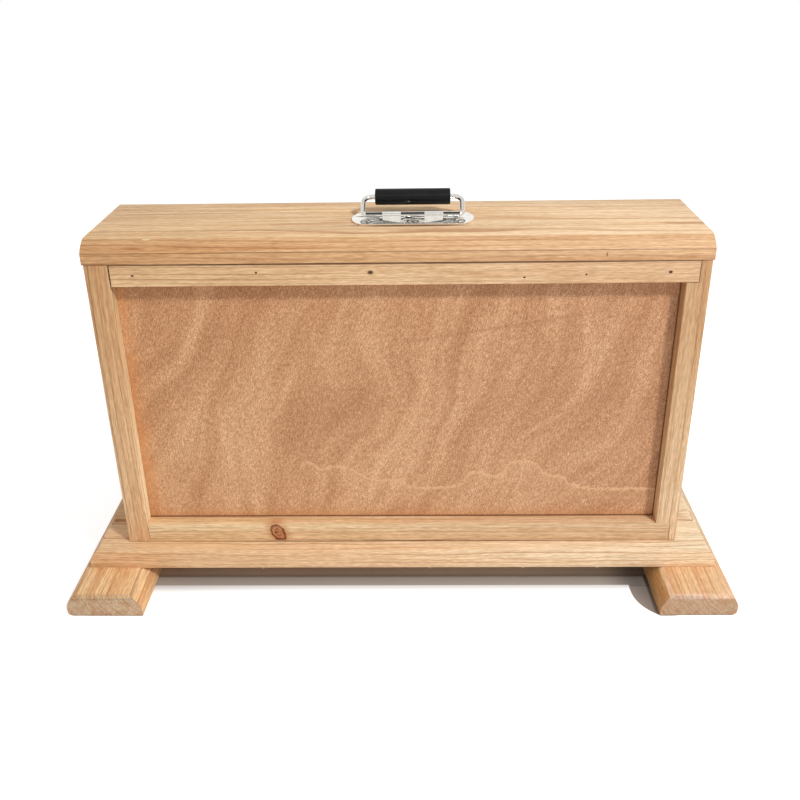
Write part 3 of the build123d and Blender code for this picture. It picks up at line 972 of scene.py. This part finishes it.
@dataclass
class Feet(SubAssembly):
    """The two feet and the screws that hold the base on them."""

    arris_width: float = 0.5 * MM
    left: WoodFinish = WoodFinish(
        "left_foot_wood", Grain.DEPTH, early=srgb(248, 206, 154), late=srgb(190, 122, 66),
        warm=srgb(224, 160, 104), seed=1.3, pith=(-0.20, 0.055), ring_width=0.0040, wander=0.008,
        streak_depth=0.75, end_tint=(0.715, 0.78, 0.95, 1.0),
        # The chamfer painted down to the end face's tone, and painted shade on the outer left side.
        tones=(Side(CHAMFER, (0.78, 0.80, 0.84), 0.80, 0.90), Side(LEFT, (0.70, 0.76, 0.90))),
        # Painted contact shadow along the foot's front, where it meets the floor.
        marks=(shade_line_and_spot((-262.5, -117.0, 0.2), (48.0, 6.0, 1.0), 0.6),),
    )
    right: WoodFinish = WoodFinish(
        "right_foot_wood", Grain.DEPTH, early=srgb(234, 192, 146), late=srgb(194, 132, 80),
        warm=srgb(218, 158, 106), seed=2.1, pith=(0.33, 0.065), ring_width=0.0038, wander=0.006,
        streak_depth=0.6, end_tint=(0.70, 0.73, 0.83, 1.0),
        # Painted light on the chamfer and the outer right side, and painted shade on the inner left side.
        tones=(Side(CHAMFER, (1.04, 1.10, 1.32), 0.80, 0.90), Side(RIGHT, (1.10, 1.18, 1.32)),
               Side(LEFT, (0.70, 0.62, 0.46), 0.25, 0.75)),
        # Painted contact shadow along the foot's front, where it meets the floor.
        marks=(shade_line_and_spot((262.5, -117.0, 0.2), (48.0, 6.0, 1.0), 0.6),),
    )

    def build(self, steel: Material) -> None:
        """Build and dress the feet.

        Args:
            steel: The screws' finish.
        """
        for side, finish in (("left", self.left), ("right", self.right)):
            self.eased(f"{side}_foot", f"{side}_foot_board", "foot_wood", finish.build(),
                       self.arris_width, 0.6 * MM)
        self.coat("foot_screws", steel)


@dataclass
class Base(SubAssembly):
    """The base board."""

    arris_width: float = 0.5 * MM
    wood: WoodFinish = WoodFinish(
        "base_wood", Grain.LENGTH, early=srgb(242, 206, 164), late=srgb(190, 128, 80),
        warm=srgb(234, 188, 140), seed=3.7, pith=(-0.012, 0.115), ring_width=0.0044,
        end_tint=(0.80, 0.74, 0.68, 1.0),
        # A slow change along the board, and the front face painted a little darker.
        tones=(Drift(0, -0.28, 0.30, (0.98, 0.94, 0.88), (1.05, 1.22, 1.40)),
               Side(FRONT, (1.0, 0.95, 0.91))),
        # Painted shade along the line where the body stands on the base.
        marks=(shade_line_and_spot((0.0, -60.0, 40.5), (262.0, 0.9, 1.0), 0.6),),
    )
    pale: WoodFinish = WoodFinish(
        "splinter_wood", Grain.UPRIGHT, early=srgb(252, 232, 204), late=srgb(238, 206, 168),
    )
    splinters: tuple[Pair, ...] = ((-126.8, 25.0), (27.0, -40.0), (112.3, 15.0), (180.7, -30.0))
    splinter_length: float = 2.4 * MM
    splinter_root: float = 0.5 * MM
    splinter_tip: float = 0.08 * MM
    splinter_sunk: float = 0.3

    def whiskers(self) -> Mesh:
        """Raise the torn fibres that stand off the front's lower arris.

        Returns:
            The mesh.
        """
        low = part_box("base_board")[0]
        shape = bmesh.new()
        for x, lean in self.splinters:
            spot = Matrix.Translation(
                (x * MM, low.y + 0.3 * MM, low.z - self.splinter_sunk * self.splinter_length))
            turn = Matrix.Rotation(math.radians(180.0 + lean), 4, "Y")
            flat = Matrix.Diagonal((1.0, 0.5, 1.0, 1.0))
            bmesh.ops.create_cone(shape, cap_ends=True, segments=6, radius1=self.splinter_root,
                                  radius2=self.splinter_tip, depth=self.splinter_length,
                                  matrix=spot @ turn @ flat)
        return shape

    def build(self) -> None:
        """Build and dress the base."""
        self.eased("base_board", "base_plank", "base_wood", self.wood.build(), self.arris_width,
                   1.2 * MM)
        self.register(self.piece("base_splinters", self.whiskers(), self.pale.build()), "base_wood")


@dataclass
class Body(SubAssembly):
    """The end boards and rails, their screws and the dowels that place the lid."""

    arris_width: float = 0.35 * MM
    left: WoodFinish = WoodFinish(
        "left_end_wood", Grain.UPRIGHT, early=srgb(232, 192, 148), late=srgb(150, 98, 58),
        warm=srgb(212, 160, 112), seed=5.2, pith=(-0.30, -0.10), ring_width=0.0046,
        # Darker towards the top, and painted light on the inner face, which faces the lamp.
        tones=(Drift(2, 0.08, 0.30, (1.06, 1.06, 1.04), (0.80, 0.71, 0.61)),
               Side(RIGHT, (1.24, 1.62, 1.95))),
        # Painted shade where the board meets the base and the lid.
        marks=(shade_line_and_spot((-243.0, -60.0, 40.5), (15.0, 3.0, 0.9)),
               shade_line_and_spot((-243.0, -60.0, 308.5), (15.0, 3.0, 0.8), 0.5)),
    )
    right: WoodFinish = WoodFinish(
        "right_end_wood", Grain.UPRIGHT, early=srgb(228, 188, 144), late=srgb(158, 106, 64),
        warm=srgb(210, 160, 112), seed=6.4, pith=(0.31, -0.11), ring_width=0.0052,
        # Darker towards the top, and painted shade on the inner face.
        tones=(Drift(2, 0.05, 0.27, (1.13, 1.26, 1.42), (0.82, 0.78, 0.74)),
               Side(LEFT, (0.95, 0.93, 0.84))),
        # Painted shade where the board meets the base and the lid.
        marks=(shade_line_and_spot((243.0, -60.0, 40.5), (15.0, 3.0, 0.9)),
               shade_line_and_spot((243.0, -60.0, 308.5), (15.0, 3.0, 0.8), 0.5)),
    )
    rail: WoodFinish = WoodFinish(
        "rail_wood", Grain.LENGTH, early=srgb(235, 199, 155), late=srgb(168, 116, 72),
        warm=srgb(220, 174, 126), seed=7.9, pith=(-0.03, 0.02), ring_width=0.0030, wander=0.006,
        tones=(Drift(0, -0.21, 0.15, (1.10, 1.15, 1.15), (0.885, 0.88, 0.915)),),
        # Painted shade along the rail's foot on the base and at its ends beside the end boards.
        marks=(shade_line_and_spot((0.0, -60.0, 40.5), (330.0, 3.0, 0.9)),
               shade_line_and_spot((-233.5, -60.0, 50.0), (0.8, 3.0, 14.0)),
               shade_line_and_spot((246.5, -60.0, 50.0), (0.8, 3.0, 14.0))),
    )
    knot: Knot = Knot(
        centre=millimetres((-113.0, -60.0, 50.6)), reach=millimetres((6.5, 7.5, 9.4)),
        eye=millimetres((-115.0, -60.0, 50.4)),
    )
    dowel: WoodFinish = WoodFinish(
        "dowel_wood", Grain.UPRIGHT, early=srgb(232, 200, 156), late=srgb(206, 164, 118), seed=9.0,
        ring_width=0.0022,
    )

    def build(self, steel: Material) -> None:
        """Build and dress the body.

        Args:
            steel: The screws' finish.
        """
        for side, finish in (("left", self.left), ("right", self.right)):
            self.eased(f"{side}_end_board", f"{side}_end_plank", "end_wood", finish.build(),
                       self.arris_width, 3.0 * MM)
        finishes = (("front", replace(self.rail, knots=(self.knot,))),
                    ("rear", replace(self.rail, name="rear_rail_wood", seed=8.6)))
        for face, finish in finishes:
            self.eased(f"{face}_rail", f"{face}_rail_bar", "trim_wood", finish.build(),
                       self.arris_width, 3.0 * MM)
        self.coat("lid_dowels", self.dowel.build())
        for node in ("end_board_screws", "rail_screws"):
            self.coat(node, steel)


@dataclass
class Glazing(SubAssembly):
    """The two panes that stand either side of the comb."""

    glass: GlassFinish = GlassFinish()

    def build(self) -> None:
        """Dress the panes."""
        material = self.glass.build()
        for face in ("front", "rear"):
            self.coat(f"{face}_glass", material)


@dataclass
class Shutter(SubAssembly):
    """One lift-out shutter: a plywood panel under a strip that is bradded to it."""

    face: str
    wood: WoodFinish
    plywood: PlywoodFinish
    brads: MetalFinish
    arris_width: float = 0.35 * MM

    def __post_init__(self) -> None:
        """Set the body that the shutter moves with."""
        self.body = f"{self.face}_shutter"

    def build(self) -> None:
        """Build and dress the shutter."""
        self.eased(f"{self.body}_strip", f"{self.body}_top_strip", "trim_wood", self.wood.build(),
                   self.arris_width, 3.0 * MM)
        self.coat(f"{self.body}_panel", self.plywood.build())
        self.coat(f"{self.body}_brads", self.brads.build())


@dataclass
class Lid(SubAssembly):
    """The lid board with its profiled front edge."""

    body: str = "lid"
    arris_width: float = 0.35 * MM
    wood: WoodFinish = WoodFinish(
        "lid_wood", Grain.LENGTH, early=srgb(222, 174, 126), late=srgb(160, 98, 54),
        warm=srgb(200, 140, 90), seed=11.4, pith=(-0.02, 0.39), ring_width=0.0050, wander=0.010,
        # A slow change along the board, and the top face painted paler than its profiled edge.
        tones=(Drift(0, -0.20, 0.20, (1.02, 1.015, 0.975), (0.945, 0.995, 1.07)),
               Side(TOP, (1.26, 1.47, 1.68), 0.90, 0.985)),
        marks=(
            mark((-201.5, -49.0, 326.2), (5.0, 2.0, 1.0), srgb(250, 222, 178)),
            mark((168.0, -60.0, 314.0), (0.7, 1.0, 2.4), srgb(110, 66, 40)),
            mark((112.0, -14.0, 327.5), (0.8, 1.0, 1.0), srgb(130, 84, 52)),
            mark((-211.0, -56.0, 321.0), (13.0, 9.0, 1.6), srgb(160, 88, 48), 0.6, 0.1),
            # A dark line along the front where the profile starts, painted shade along the lid's foot above
            # the strip, and the painted shadow just in front of the handle plate.
            shade_line_and_spot((0.0, -60.0, 317.9), (420.0, 2.0, 0.7), 0.55),
            shade_line_and_spot((0.0, -60.0, 308.5), (420.0, 2.0, 0.8), 0.6),
            shade_line_and_spot((13.4, -20.4, 327.5), (58.0, 2.3, 1.5), 0.95),
        ),
    )

    def build(self) -> None:
        """Build and dress the lid."""
        self.eased("lid_board", "lid_plank", "lid_wood", self.wood.build(), self.arris_width, 2.6 * MM)


@dataclass
class CarryingHandle(SubAssembly):
    """The folding handle: its plate and screws on the lid, and the bail with its grip."""

    body: str = "lid"
    rod_radius: float = 2.1 * MM
    reach: float = 21.5 * MM
    upper_bend: float = 7.2 * MM
    lower_bend: float = 4.0 * MM
    lean: float = math.radians(30.0)
    rod_sides: int = 32
    bend_steps: int = 10
    grip_radius: float = 6.9 * MM
    grip_bore: float = 2.1 * MM
    grip_chamfer: float = 0.7 * MM
    grip_sides: int = 64
    plate_arris: float = 0.3 * MM
    steel: MetalFinish = MetalFinish(
        "polished_stainless", srgb(242, 239, 233), srgb(210, 205, 197), 0.09, 0.25, (500.0, 90.0, 500.0),
    )
    screw_spacing: Pair = (39.0 * MM, 12.0 * MM)
    plate_thickness: float = 1.5 * MM
    # Middles and half lengths, in millimetres, of the rod's stretches between the knuckles, where shade is
    # painted on it.
    open_rod: tuple[Pair, ...] = ((-19.3, 7.0), (13.4, 10.4), (46.3, 7.0))
    rubber: RubberFinish = RubberFinish()

    def centre(self) -> Vector:
        """Find the middle of the rod that the bail turns on."""
        low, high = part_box("handle_bail")
        return Vector(((low.x + high.x) / 2, 0.0, low.z + self.rod_radius))

    def seat(self) -> Matrix:
        """Lead from the bail's own plane, with its y from the rod to the grip, to the row frame."""
        return Matrix.Translation(self.centre()) @ Matrix.Rotation(self.lean, 4, "X")

    def bail(self) -> Mesh:
        """Bend the round bar into its closed loop.

        Returns:
            The mesh, in the row frame.
        """
        low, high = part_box("handle_bail")
        half = (high.x - low.x) / 2 - self.rod_radius
        shape = bmesh.new()
        upright = Matrix.Rotation(math.radians(90), 4, "Y")
        ring = bmesh.ops.create_circle(shape, segments=self.rod_sides, radius=self.rod_radius,
                                       matrix=upright)
        edges = list({edge for vert in ring["verts"] for edge in vert.link_edges})
        edges = self.run(shape, edges, Vector((half - self.lower_bend, 0.0, 0.0)))
        edges = self.turn(shape, edges, Vector((half - self.lower_bend, self.lower_bend, 0.0)))
        straight = self.reach - self.upper_bend - self.lower_bend
        edges = self.run(shape, edges, Vector((0.0, straight, 0.0)))
        edges = self.turn(shape, edges, Vector((half - self.upper_bend, self.reach - self.upper_bend, 0.0)))
        self.run(shape, edges, Vector((self.upper_bend - half, 0.0, 0.0)))
        bmesh.ops.mirror(shape, geom=shape.verts[:] + shape.edges[:] + shape.faces[:], axis="X",
                         merge_dist=self.weld)
        bmesh.ops.remove_doubles(shape, verts=shape.verts, dist=self.weld)
        bmesh.ops.recalc_face_normals(shape, faces=shape.faces)
        shape.transform(self.seat())
        return shape

    def run(self, shape: Mesh, edges: list, step: Vector) -> list:
        """Lead the bar straight on.

        Args:
            shape: The mesh.
            edges: The bar's open end.
            step: How far it goes.

        Returns:
            The new open end.
        """
        made = bmesh.ops.extrude_edge_only(shape, edges=edges)["geom"]
        verts = [part for part in made if isinstance(part, bmesh.types.BMVert)]
        bmesh.ops.translate(shape, verts=verts, vec=step)
        return [part for part in made if isinstance(part, bmesh.types.BMEdge)]

    def turn(self, shape: Mesh, edges: list, centre: Vector) -> list:
        """Bend the bar through a right angle in its plane.

        Args:
            shape: The mesh.
            edges: The bar's open end.
            centre: The middle of the bend.

        Returns:
            The new open end.
        """
        verts = list({vert for edge in edges for vert in edge.verts})
        made = bmesh.ops.spin(shape, geom=verts + edges, cent=centre, axis=(0.0, 0.0, 1.0),
                              angle=math.radians(90), steps=self.bend_steps, use_merge=False)
        return [part for part in made["geom_last"] if isinstance(part, bmesh.types.BMEdge)]

    def grip(self) -> Mesh:
        """Turn the sleeve from its profile.

        Returns:
            The mesh, in the row frame.
        """
        low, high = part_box("handle_grip")
        half = (high.x - low.x) / 2
        edge = self.grip_chamfer
        side = [(half, self.grip_bore), (half, self.grip_radius - edge), (half - edge, self.grip_radius)]
        profile = [(-x, radius) for x, radius in side] + side[::-1]
        shape = bmesh.new()
        points = [shape.verts.new((x, self.reach + radius, 0.0)) for x, radius in profile]
        rim = [shape.edges.new(pair) for pair in zip(points, points[1:] + points[:1])]
        bmesh.ops.spin(shape, geom=points + rim, cent=(0.0, self.reach, 0.0), axis=(1.0, 0.0, 0.0),
                       angle=math.radians(360), steps=self.grip_sides, use_merge=True)
        bmesh.ops.remove_doubles(shape, verts=shape.verts, dist=self.weld)
        bmesh.ops.recalc_face_normals(shape, faces=shape.faces)
        shape.transform(self.seat())
        return shape

    def rings(self) -> tuple[PaintedShadeRing, ...]:
        """Place a ring of painted shade round each of the plate's screws.

        Returns:
            The rings.
        """
        low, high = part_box("handle_plate")
        middle = (low + high) / 2
        along, across = self.screw_spacing
        spots = [(x, y) for x in (-along, 0.0, along) for y in (-across, across)]
        return tuple(PaintedShadeRing((middle.x + x, middle.y + y, high.z)) for x, y in spots)

    def plate_shade(self) -> PaintedShadeStrip:
        """Place the painted shadow on the plate in front of the rod."""
        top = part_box("handle_plate")[0].z + self.plate_thickness
        return PaintedShadeStrip((self.centre().x, -2.0 * MM, top), millimetres((40.5, 0.5, 1.0)))

    def rod_shades(self) -> tuple[PaintedShadeStrip, ...]:
        """Place painted shade and dark reflection on the rod, where no knuckle covers it."""
        height = self.centre().z + 1.7 * MM
        return tuple(PaintedShadeStrip((x * MM, -0.4 * MM, height), millimetres((half, 1.7, 1.3)))
                     for x, half in self.open_rod)

    def build(self) -> None:
        """Build and dress the handle."""
        metal = self.steel.build()
        # Painted shade: rings round the plate's screws, a line in front of the rod, and strips on the rod.
        shades = (*self.rings(), self.plate_shade())
        plate = replace(self.steel, name="plate_stainless_painted_shade", shades=shades).build()
        bail = replace(self.steel, name="bail_stainless_painted_shade", shades=self.rod_shades()).build()
        self.eased("handle_plate", "handle_base_plate", "stainless", plate, self.plate_arris, 0.5 * MM)
        self.coat("handle_screws", metal)
        self.body = "handle"
        self.register(self.piece("handle_bail_bar", self.bail(), bail), "stainless", "handle_bail")
        grip = self.piece("handle_grip_sleeve", self.grip(), self.rubber.build())
        self.register(grip, "grip_rubber", "handle_grip")


@dataclass
class Fittings(SubAssembly):
    """The hooks and their screws, the entrance disc and the screened air holes."""

    def build(self, steel: Material, mesh: Material) -> None:
        """Dress the fittings.

        Args:
            steel: The zinc-plated steel.
            mesh: The finish of the screens.
        """
        for side in ("left", "right"):
            for part in ("hook", "hook_pivot", "stud"):
                self.coat(f"{side}_{part}", steel)
            self.coat(f"{side}_vent_screen", mesh)
        for node in ("vent_screws", "entrance_disc", "entrance_pivot"):
            self.coat(node, steel)


@dataclass
class CombFrame(SubAssembly):
    """The comb frame with its wired sheet of foundation."""

    body: str = "comb_frame"
    wood: WoodFinish = WoodFinish(
        "frame_wood", Grain.LENGTH, early=srgb(236, 206, 160), late=srgb(206, 162, 112),
        warm=srgb(228, 188, 138), seed=14.5, pith=(0.03, 0.33), ring_width=0.0026,
    )
    wax: WaxFinish = WaxFinish()

    def build(self, steel: Material, wire: Material) -> None:
        """Dress the comb frame.

        Args:
            steel: The nails' finish.
            wire: The wires' finish.
        """
        level = self.wood.build()
        side = replace(self.wood, name="side_bar_wood", grain=Grain.UPRIGHT, pith=(0.26, 0.03)).build()
        for node, material in (("top_bar", level), ("bottom_bar", level), ("left_side_bar", side),
                               ("right_side_bar", side), ("foundation", self.wax.build()),
                               ("frame_wires", wire), ("frame_nails", steel)):
            self.coat(node, material)


@dataclass(frozen=True)
class Band:
    """A strength of the floor's painted shadow that changes from one place to another."""

    low: float
    high: float
    start: float
    end: float

    def at(self, nodes: Nodes, place: Socket) -> Socket:
        """Read the strength at a place."""
        return nodes.span(place, self.low, self.high, self.start, self.end)


@dataclass
class Studio:
    """The camera, the lamp, the world and the pale floor."""

    camera_place: Triple = (0.01778, -0.7800, 0.54071)
    camera_pitch: float = math.radians(26.2106)
    camera_yaw: float = math.radians(1.2925)
    camera_roll: float = math.radians(-0.8965)
    lens: float = 42.1016
    sensor: float = 36.0
    key_from: Triple = (0.82, -1.02, 1.45)
    key_toward: Triple = (0.0, 0.0, 0.15)
    key_power: float = 19.0
    key_size: float = 0.20
    world_strength: float = 0.49
    floor_half: float = 4.0
    floor_colour: Colour = (0.86, 0.86, 0.86, 1.0)
    # The colour of the shadow painted into the floor under the base and beside the right foot; the fields
    # below shape it.
    shade_colour: Colour = (0.62, 0.54, 0.48, 1.0)
    room: tuple[Pair, ...] = ((0.0, 0.7), (0.04, 0.1), (0.12, 0.1), (0.18, 1.0), (0.62, 1.0), (0.8, 0.35))
    shade_half: Pair = (0.24, 0.0735)
    foot_front: float = 0.117
    foot_inner: float = 0.230
    bow_width: float = 0.019
    glow: float = 0.62
    # Bands of the painted shadow's tone, then its soft tail.
    contact: Band = Band(0.054, 0.060, 1.20, 0.68)
    front_line: Band = Band(0.062, 0.0735, 1.0, 1.15)
    right_end: Band = Band(0.185, 0.222, 1.0, 0.38)
    foot_gap: Band = Band(-0.076, -0.0735, 1.0, 0.0)
    foot_side: Band = Band(-0.11, -0.08, 0.62, 0.50)
    foot_edge: Band = Band(0.205, 0.228, 1.08, 0.70)
    foot_share: Band = Band(-0.0765, -0.0735, 1.0, 0.0)
    left_tail: Band = Band(-0.235, -0.10, 0.12, 0.0)
    tail_strength: float = 0.50
    tail_length: Pair = (0.013, 0.022)

    def camera(self) -> None:
        """Place the camera where the photograph was taken from."""
        data = bpy.data.cameras.new("camera")
        data.lens = self.lens
        data.sensor_width = self.sensor
        camera = bpy.data.objects.new("camera", data)
        yaw = Matrix.Rotation(self.camera_yaw, 4, "Z")
        pitch = Matrix.Rotation(math.pi / 2 - self.camera_pitch, 4, "X")
        roll = Matrix.Rotation(self.camera_roll, 4, "Z")
        camera.matrix_world = Matrix.Translation(self.camera_place) @ yaw @ pitch @ roll
        bpy.context.scene.collection.objects.link(camera)
        bpy.context.scene.camera = camera

    def lamp(self) -> None:
        """Hang the square soft lamp that faces the hive."""
        data = bpy.data.lights.new("key_lamp", "AREA")
        data.energy = self.key_power
        data.size = self.key_size
        lamp = bpy.data.objects.new("key_lamp", data)
        lamp.location = self.key_from
        toward = Vector(self.key_toward) - Vector(self.key_from)
        lamp.rotation_euler = toward.to_track_quat("-Z", "Y").to_euler()
        bpy.context.scene.collection.objects.link(lamp)

    def world(self) -> None:
        """Surround the hive with even light, a white background and a room for metal to mirror."""
        world = bpy.data.worlds.new("studio")
        world.use_nodes = True
        bpy.context.scene.world = world
        tree = Tree(world.node_tree)
        strength = tree.span(tree.seen(), 0.0, 1.0, self.world_strength, 1.0, False)
        band = world.node_tree.nodes.new("ShaderNodeValToRGB")
        for position, shine in self.room:
            element = band.color_ramp.elements.new(position)
            element.color = (shine, shine, shine, 1.0)
        band.color_ramp.elements.remove(band.color_ramp.elements[0])
        tree.feed(band.inputs[0], tree.axes(tree.place.outputs["Generated"])[2])
        mirrored = tree.add("ShaderNodeLightPath", {}, "Is Glossy Ray")
        background = world.node_tree.nodes["Background"]
        tree.feed(background.inputs["Color"], tree.mix(mirrored, WHITE, band.outputs[0]))
        tree.feed(background.inputs["Strength"], strength)

    def floor(self) -> None:
        """Lay a white floor that keeps the hive's shadow, with a deeper shadow painted into its colour
        under the base and beside the right foot.
        """
        shape = bmesh.new()
        bmesh.ops.create_grid(shape, x_segments=8, y_segments=8, size=self.floor_half)
        mesh = bpy.data.meshes.new("floor")
        shape.to_mesh(mesh)
        shape.free()
        floor = bpy.data.objects.new("floor", mesh)
        bpy.context.scene.collection.objects.link(floor)
        nodes = Nodes("floor_paper")
        x, y, _ = nodes.axes(nodes.here)
        cloud = nodes.noise(nodes.here, (3.0, 3.0, 3.0), 2.0)
        # Painted shadow: the floor's colour darkens under the base and beside the right foot, and its white
        # glow fades there.
        shade = self.shade(nodes, x, y)
        colour = nodes.mix(shade, self.floor_colour, self.shadow(nodes, x, y))
        glow = nodes.times(nodes.span(shade, 0.0, 1.0, self.glow, 0.0, False), nodes.seen())
        nodes.coat(Base_Color=nodes.shade(colour, nodes.vary(cloud, 0.005)), Roughness=0.9,
                   Specular_IOR_Level=0.0, Emission_Color=WHITE, Emission_Strength=glow)
        mesh.materials.append(nodes.material)

    def shadow(self, nodes: Nodes, x: Socket, y: Socket) -> Socket:
        """Colour the painted shadow, which is darkest near its front line and beside the right foot.

        Args:
            nodes: The floor's nodes.
            x: The place along the hive.
            y: The place across it.

        Returns:
            The colour.
        """
        away = nodes.size(y)
        under = nodes.times(self.contact.at(nodes, away), self.front_line.at(nodes, away),
                            self.right_end.at(nodes, x))
        beside = nodes.times(self.foot_gap.at(nodes, y), self.foot_side.at(nodes, y),
                             self.foot_edge.at(nodes, x))
        return nodes.shade(self.shade_colour, nodes.mix(self.foot_share.at(nodes, y), under, beside))

    def shade(self, nodes: Nodes, x: Socket, y: Socket) -> Socket:
        """Show where the floor's colour holds the painted shadow.

        Args:
            nodes: The floor's nodes.
            x: The place along the hive.
            y: The place across it.

        Returns:
            1 between the feet and beside the right foot, 0 elsewhere.
        """
        half_x, half_y = self.shade_half
        inside = nodes.span(nodes.size(x), half_x, half_x + 0.01, 1.0, 0.0)
        away = nodes.size(y)
        under = nodes.times(nodes.span(away, half_y - 0.0008, half_y + 0.0012, 1.0, 0.0), inside)
        near, far = self.tail_length
        tail = nodes.plus(nodes.span(away, half_y, half_y + near, self.tail_strength, 0.0),
                          self.left_tail.at(nodes, x))
        tail = nodes.times(tail, nodes.span(away, half_y + near - 0.001, half_y + far, 1.0, 0.0))
        under = nodes.most(under, nodes.times(tail, inside))
        ahead = nodes.span(y, -self.foot_front, -half_y, 1.0, 0.0, False)
        bow = nodes.times(nodes.math("POWER", ahead, 3.0), self.bow_width)
        past = nodes.minus(x, nodes.plus(bow, self.foot_inner - self.bow_width))
        beside = nodes.times(nodes.span(past, -0.001, 0.001), inside,
                             nodes.span(y, -self.foot_front - 0.001, -self.foot_front),
                             nodes.span(y, 0.0, 0.01, 1.0, 0.0))
        return nodes.most(under, beside)

    def build(self) -> None:
        """Set up the studio."""
        self.camera()
        self.world()
        self.lamp()
        self.floor()
        bpy.context.scene.view_settings.view_transform = "Standard"


def main() -> None:
    """Build every sub-assembly in order."""
    logging.basicConfig(level=logging.INFO, format="%(name)s: %(message)s")
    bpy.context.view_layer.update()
    Studio().build()
    zinc = MetalFinish("zinc_plate", srgb(196, 198, 200), srgb(150, 152, 150), 0.32, 0.5).build()
    screen = MetalFinish("screen_sheet", srgb(188, 190, 192), srgb(140, 142, 142), 0.38, 0.5).build()
    wire = MetalFinish("tinned_wire", srgb(190, 190, 188), srgb(130, 128, 122), 0.3, 0.4).build()
    rust = MetalFinish("brad_steel", srgb(62, 42, 34), srgb(34, 22, 18), 0.6, 0.8, metallic=0.3)
    front_strip = WoodFinish(
        "front_strip_wood", Grain.LENGTH, early=srgb(230, 188, 141), late=srgb(140, 86, 48),
        warm=srgb(216, 164, 114), seed=17.2, pith=(-0.05, 0.24), ring_width=0.0040, wander=0.004,
        tones=(Drift(0, -0.20, 0.20, (0.97, 0.98, 0.97), (0.99, 1.05, 1.17)),),
        marks=(
            # Painted shade along the strip's top under the lid and at its right end, then the dark spots
            # round the brads.
            shade_line_and_spot((5.0, -60.0, 308.0), (330.0, 2.0, 0.9)),
            shade_line_and_spot((243.6, -60.0, 299.0), (0.9, 3.0, 13.0), 0.6),
            shade_line_and_spot((-213.7, -60.0, 299.5), (1.8, 1.5, 0.9), 0.9),
            shade_line_and_spot((-113.0, -60.0, 301.2), (1.2, 1.5, 1.2), 0.8),
            shade_line_and_spot((-20.7, -60.0, 300.7), (3.2, 1.5, 2.2), 0.95),
            shade_line_and_spot((103.1, -60.0, 295.4), (1.5, 1.5, 0.8), 0.9),
            shade_line_and_spot((219.8, -60.0, 299.0), (2.2, 1.5, 1.7), 0.95),
        ),
    )
    Feet().build(zinc)
    Base().build()
    Body().build(zinc)
    Glazing().build()
    Shutter("front", front_strip, PlywoodFinish("front_plywood"), rust).build()
    Shutter("rear", replace(front_strip, name="rear_strip_wood", seed=19.8),
            PlywoodFinish("rear_plywood"), replace(rust, name="rear_brad_steel")).build()
    Lid().build()
    CarryingHandle().build()
    Fittings().build(zinc, screen)
    CombFrame().build(zinc, wire)


if __name__ == "__main__":
    main()
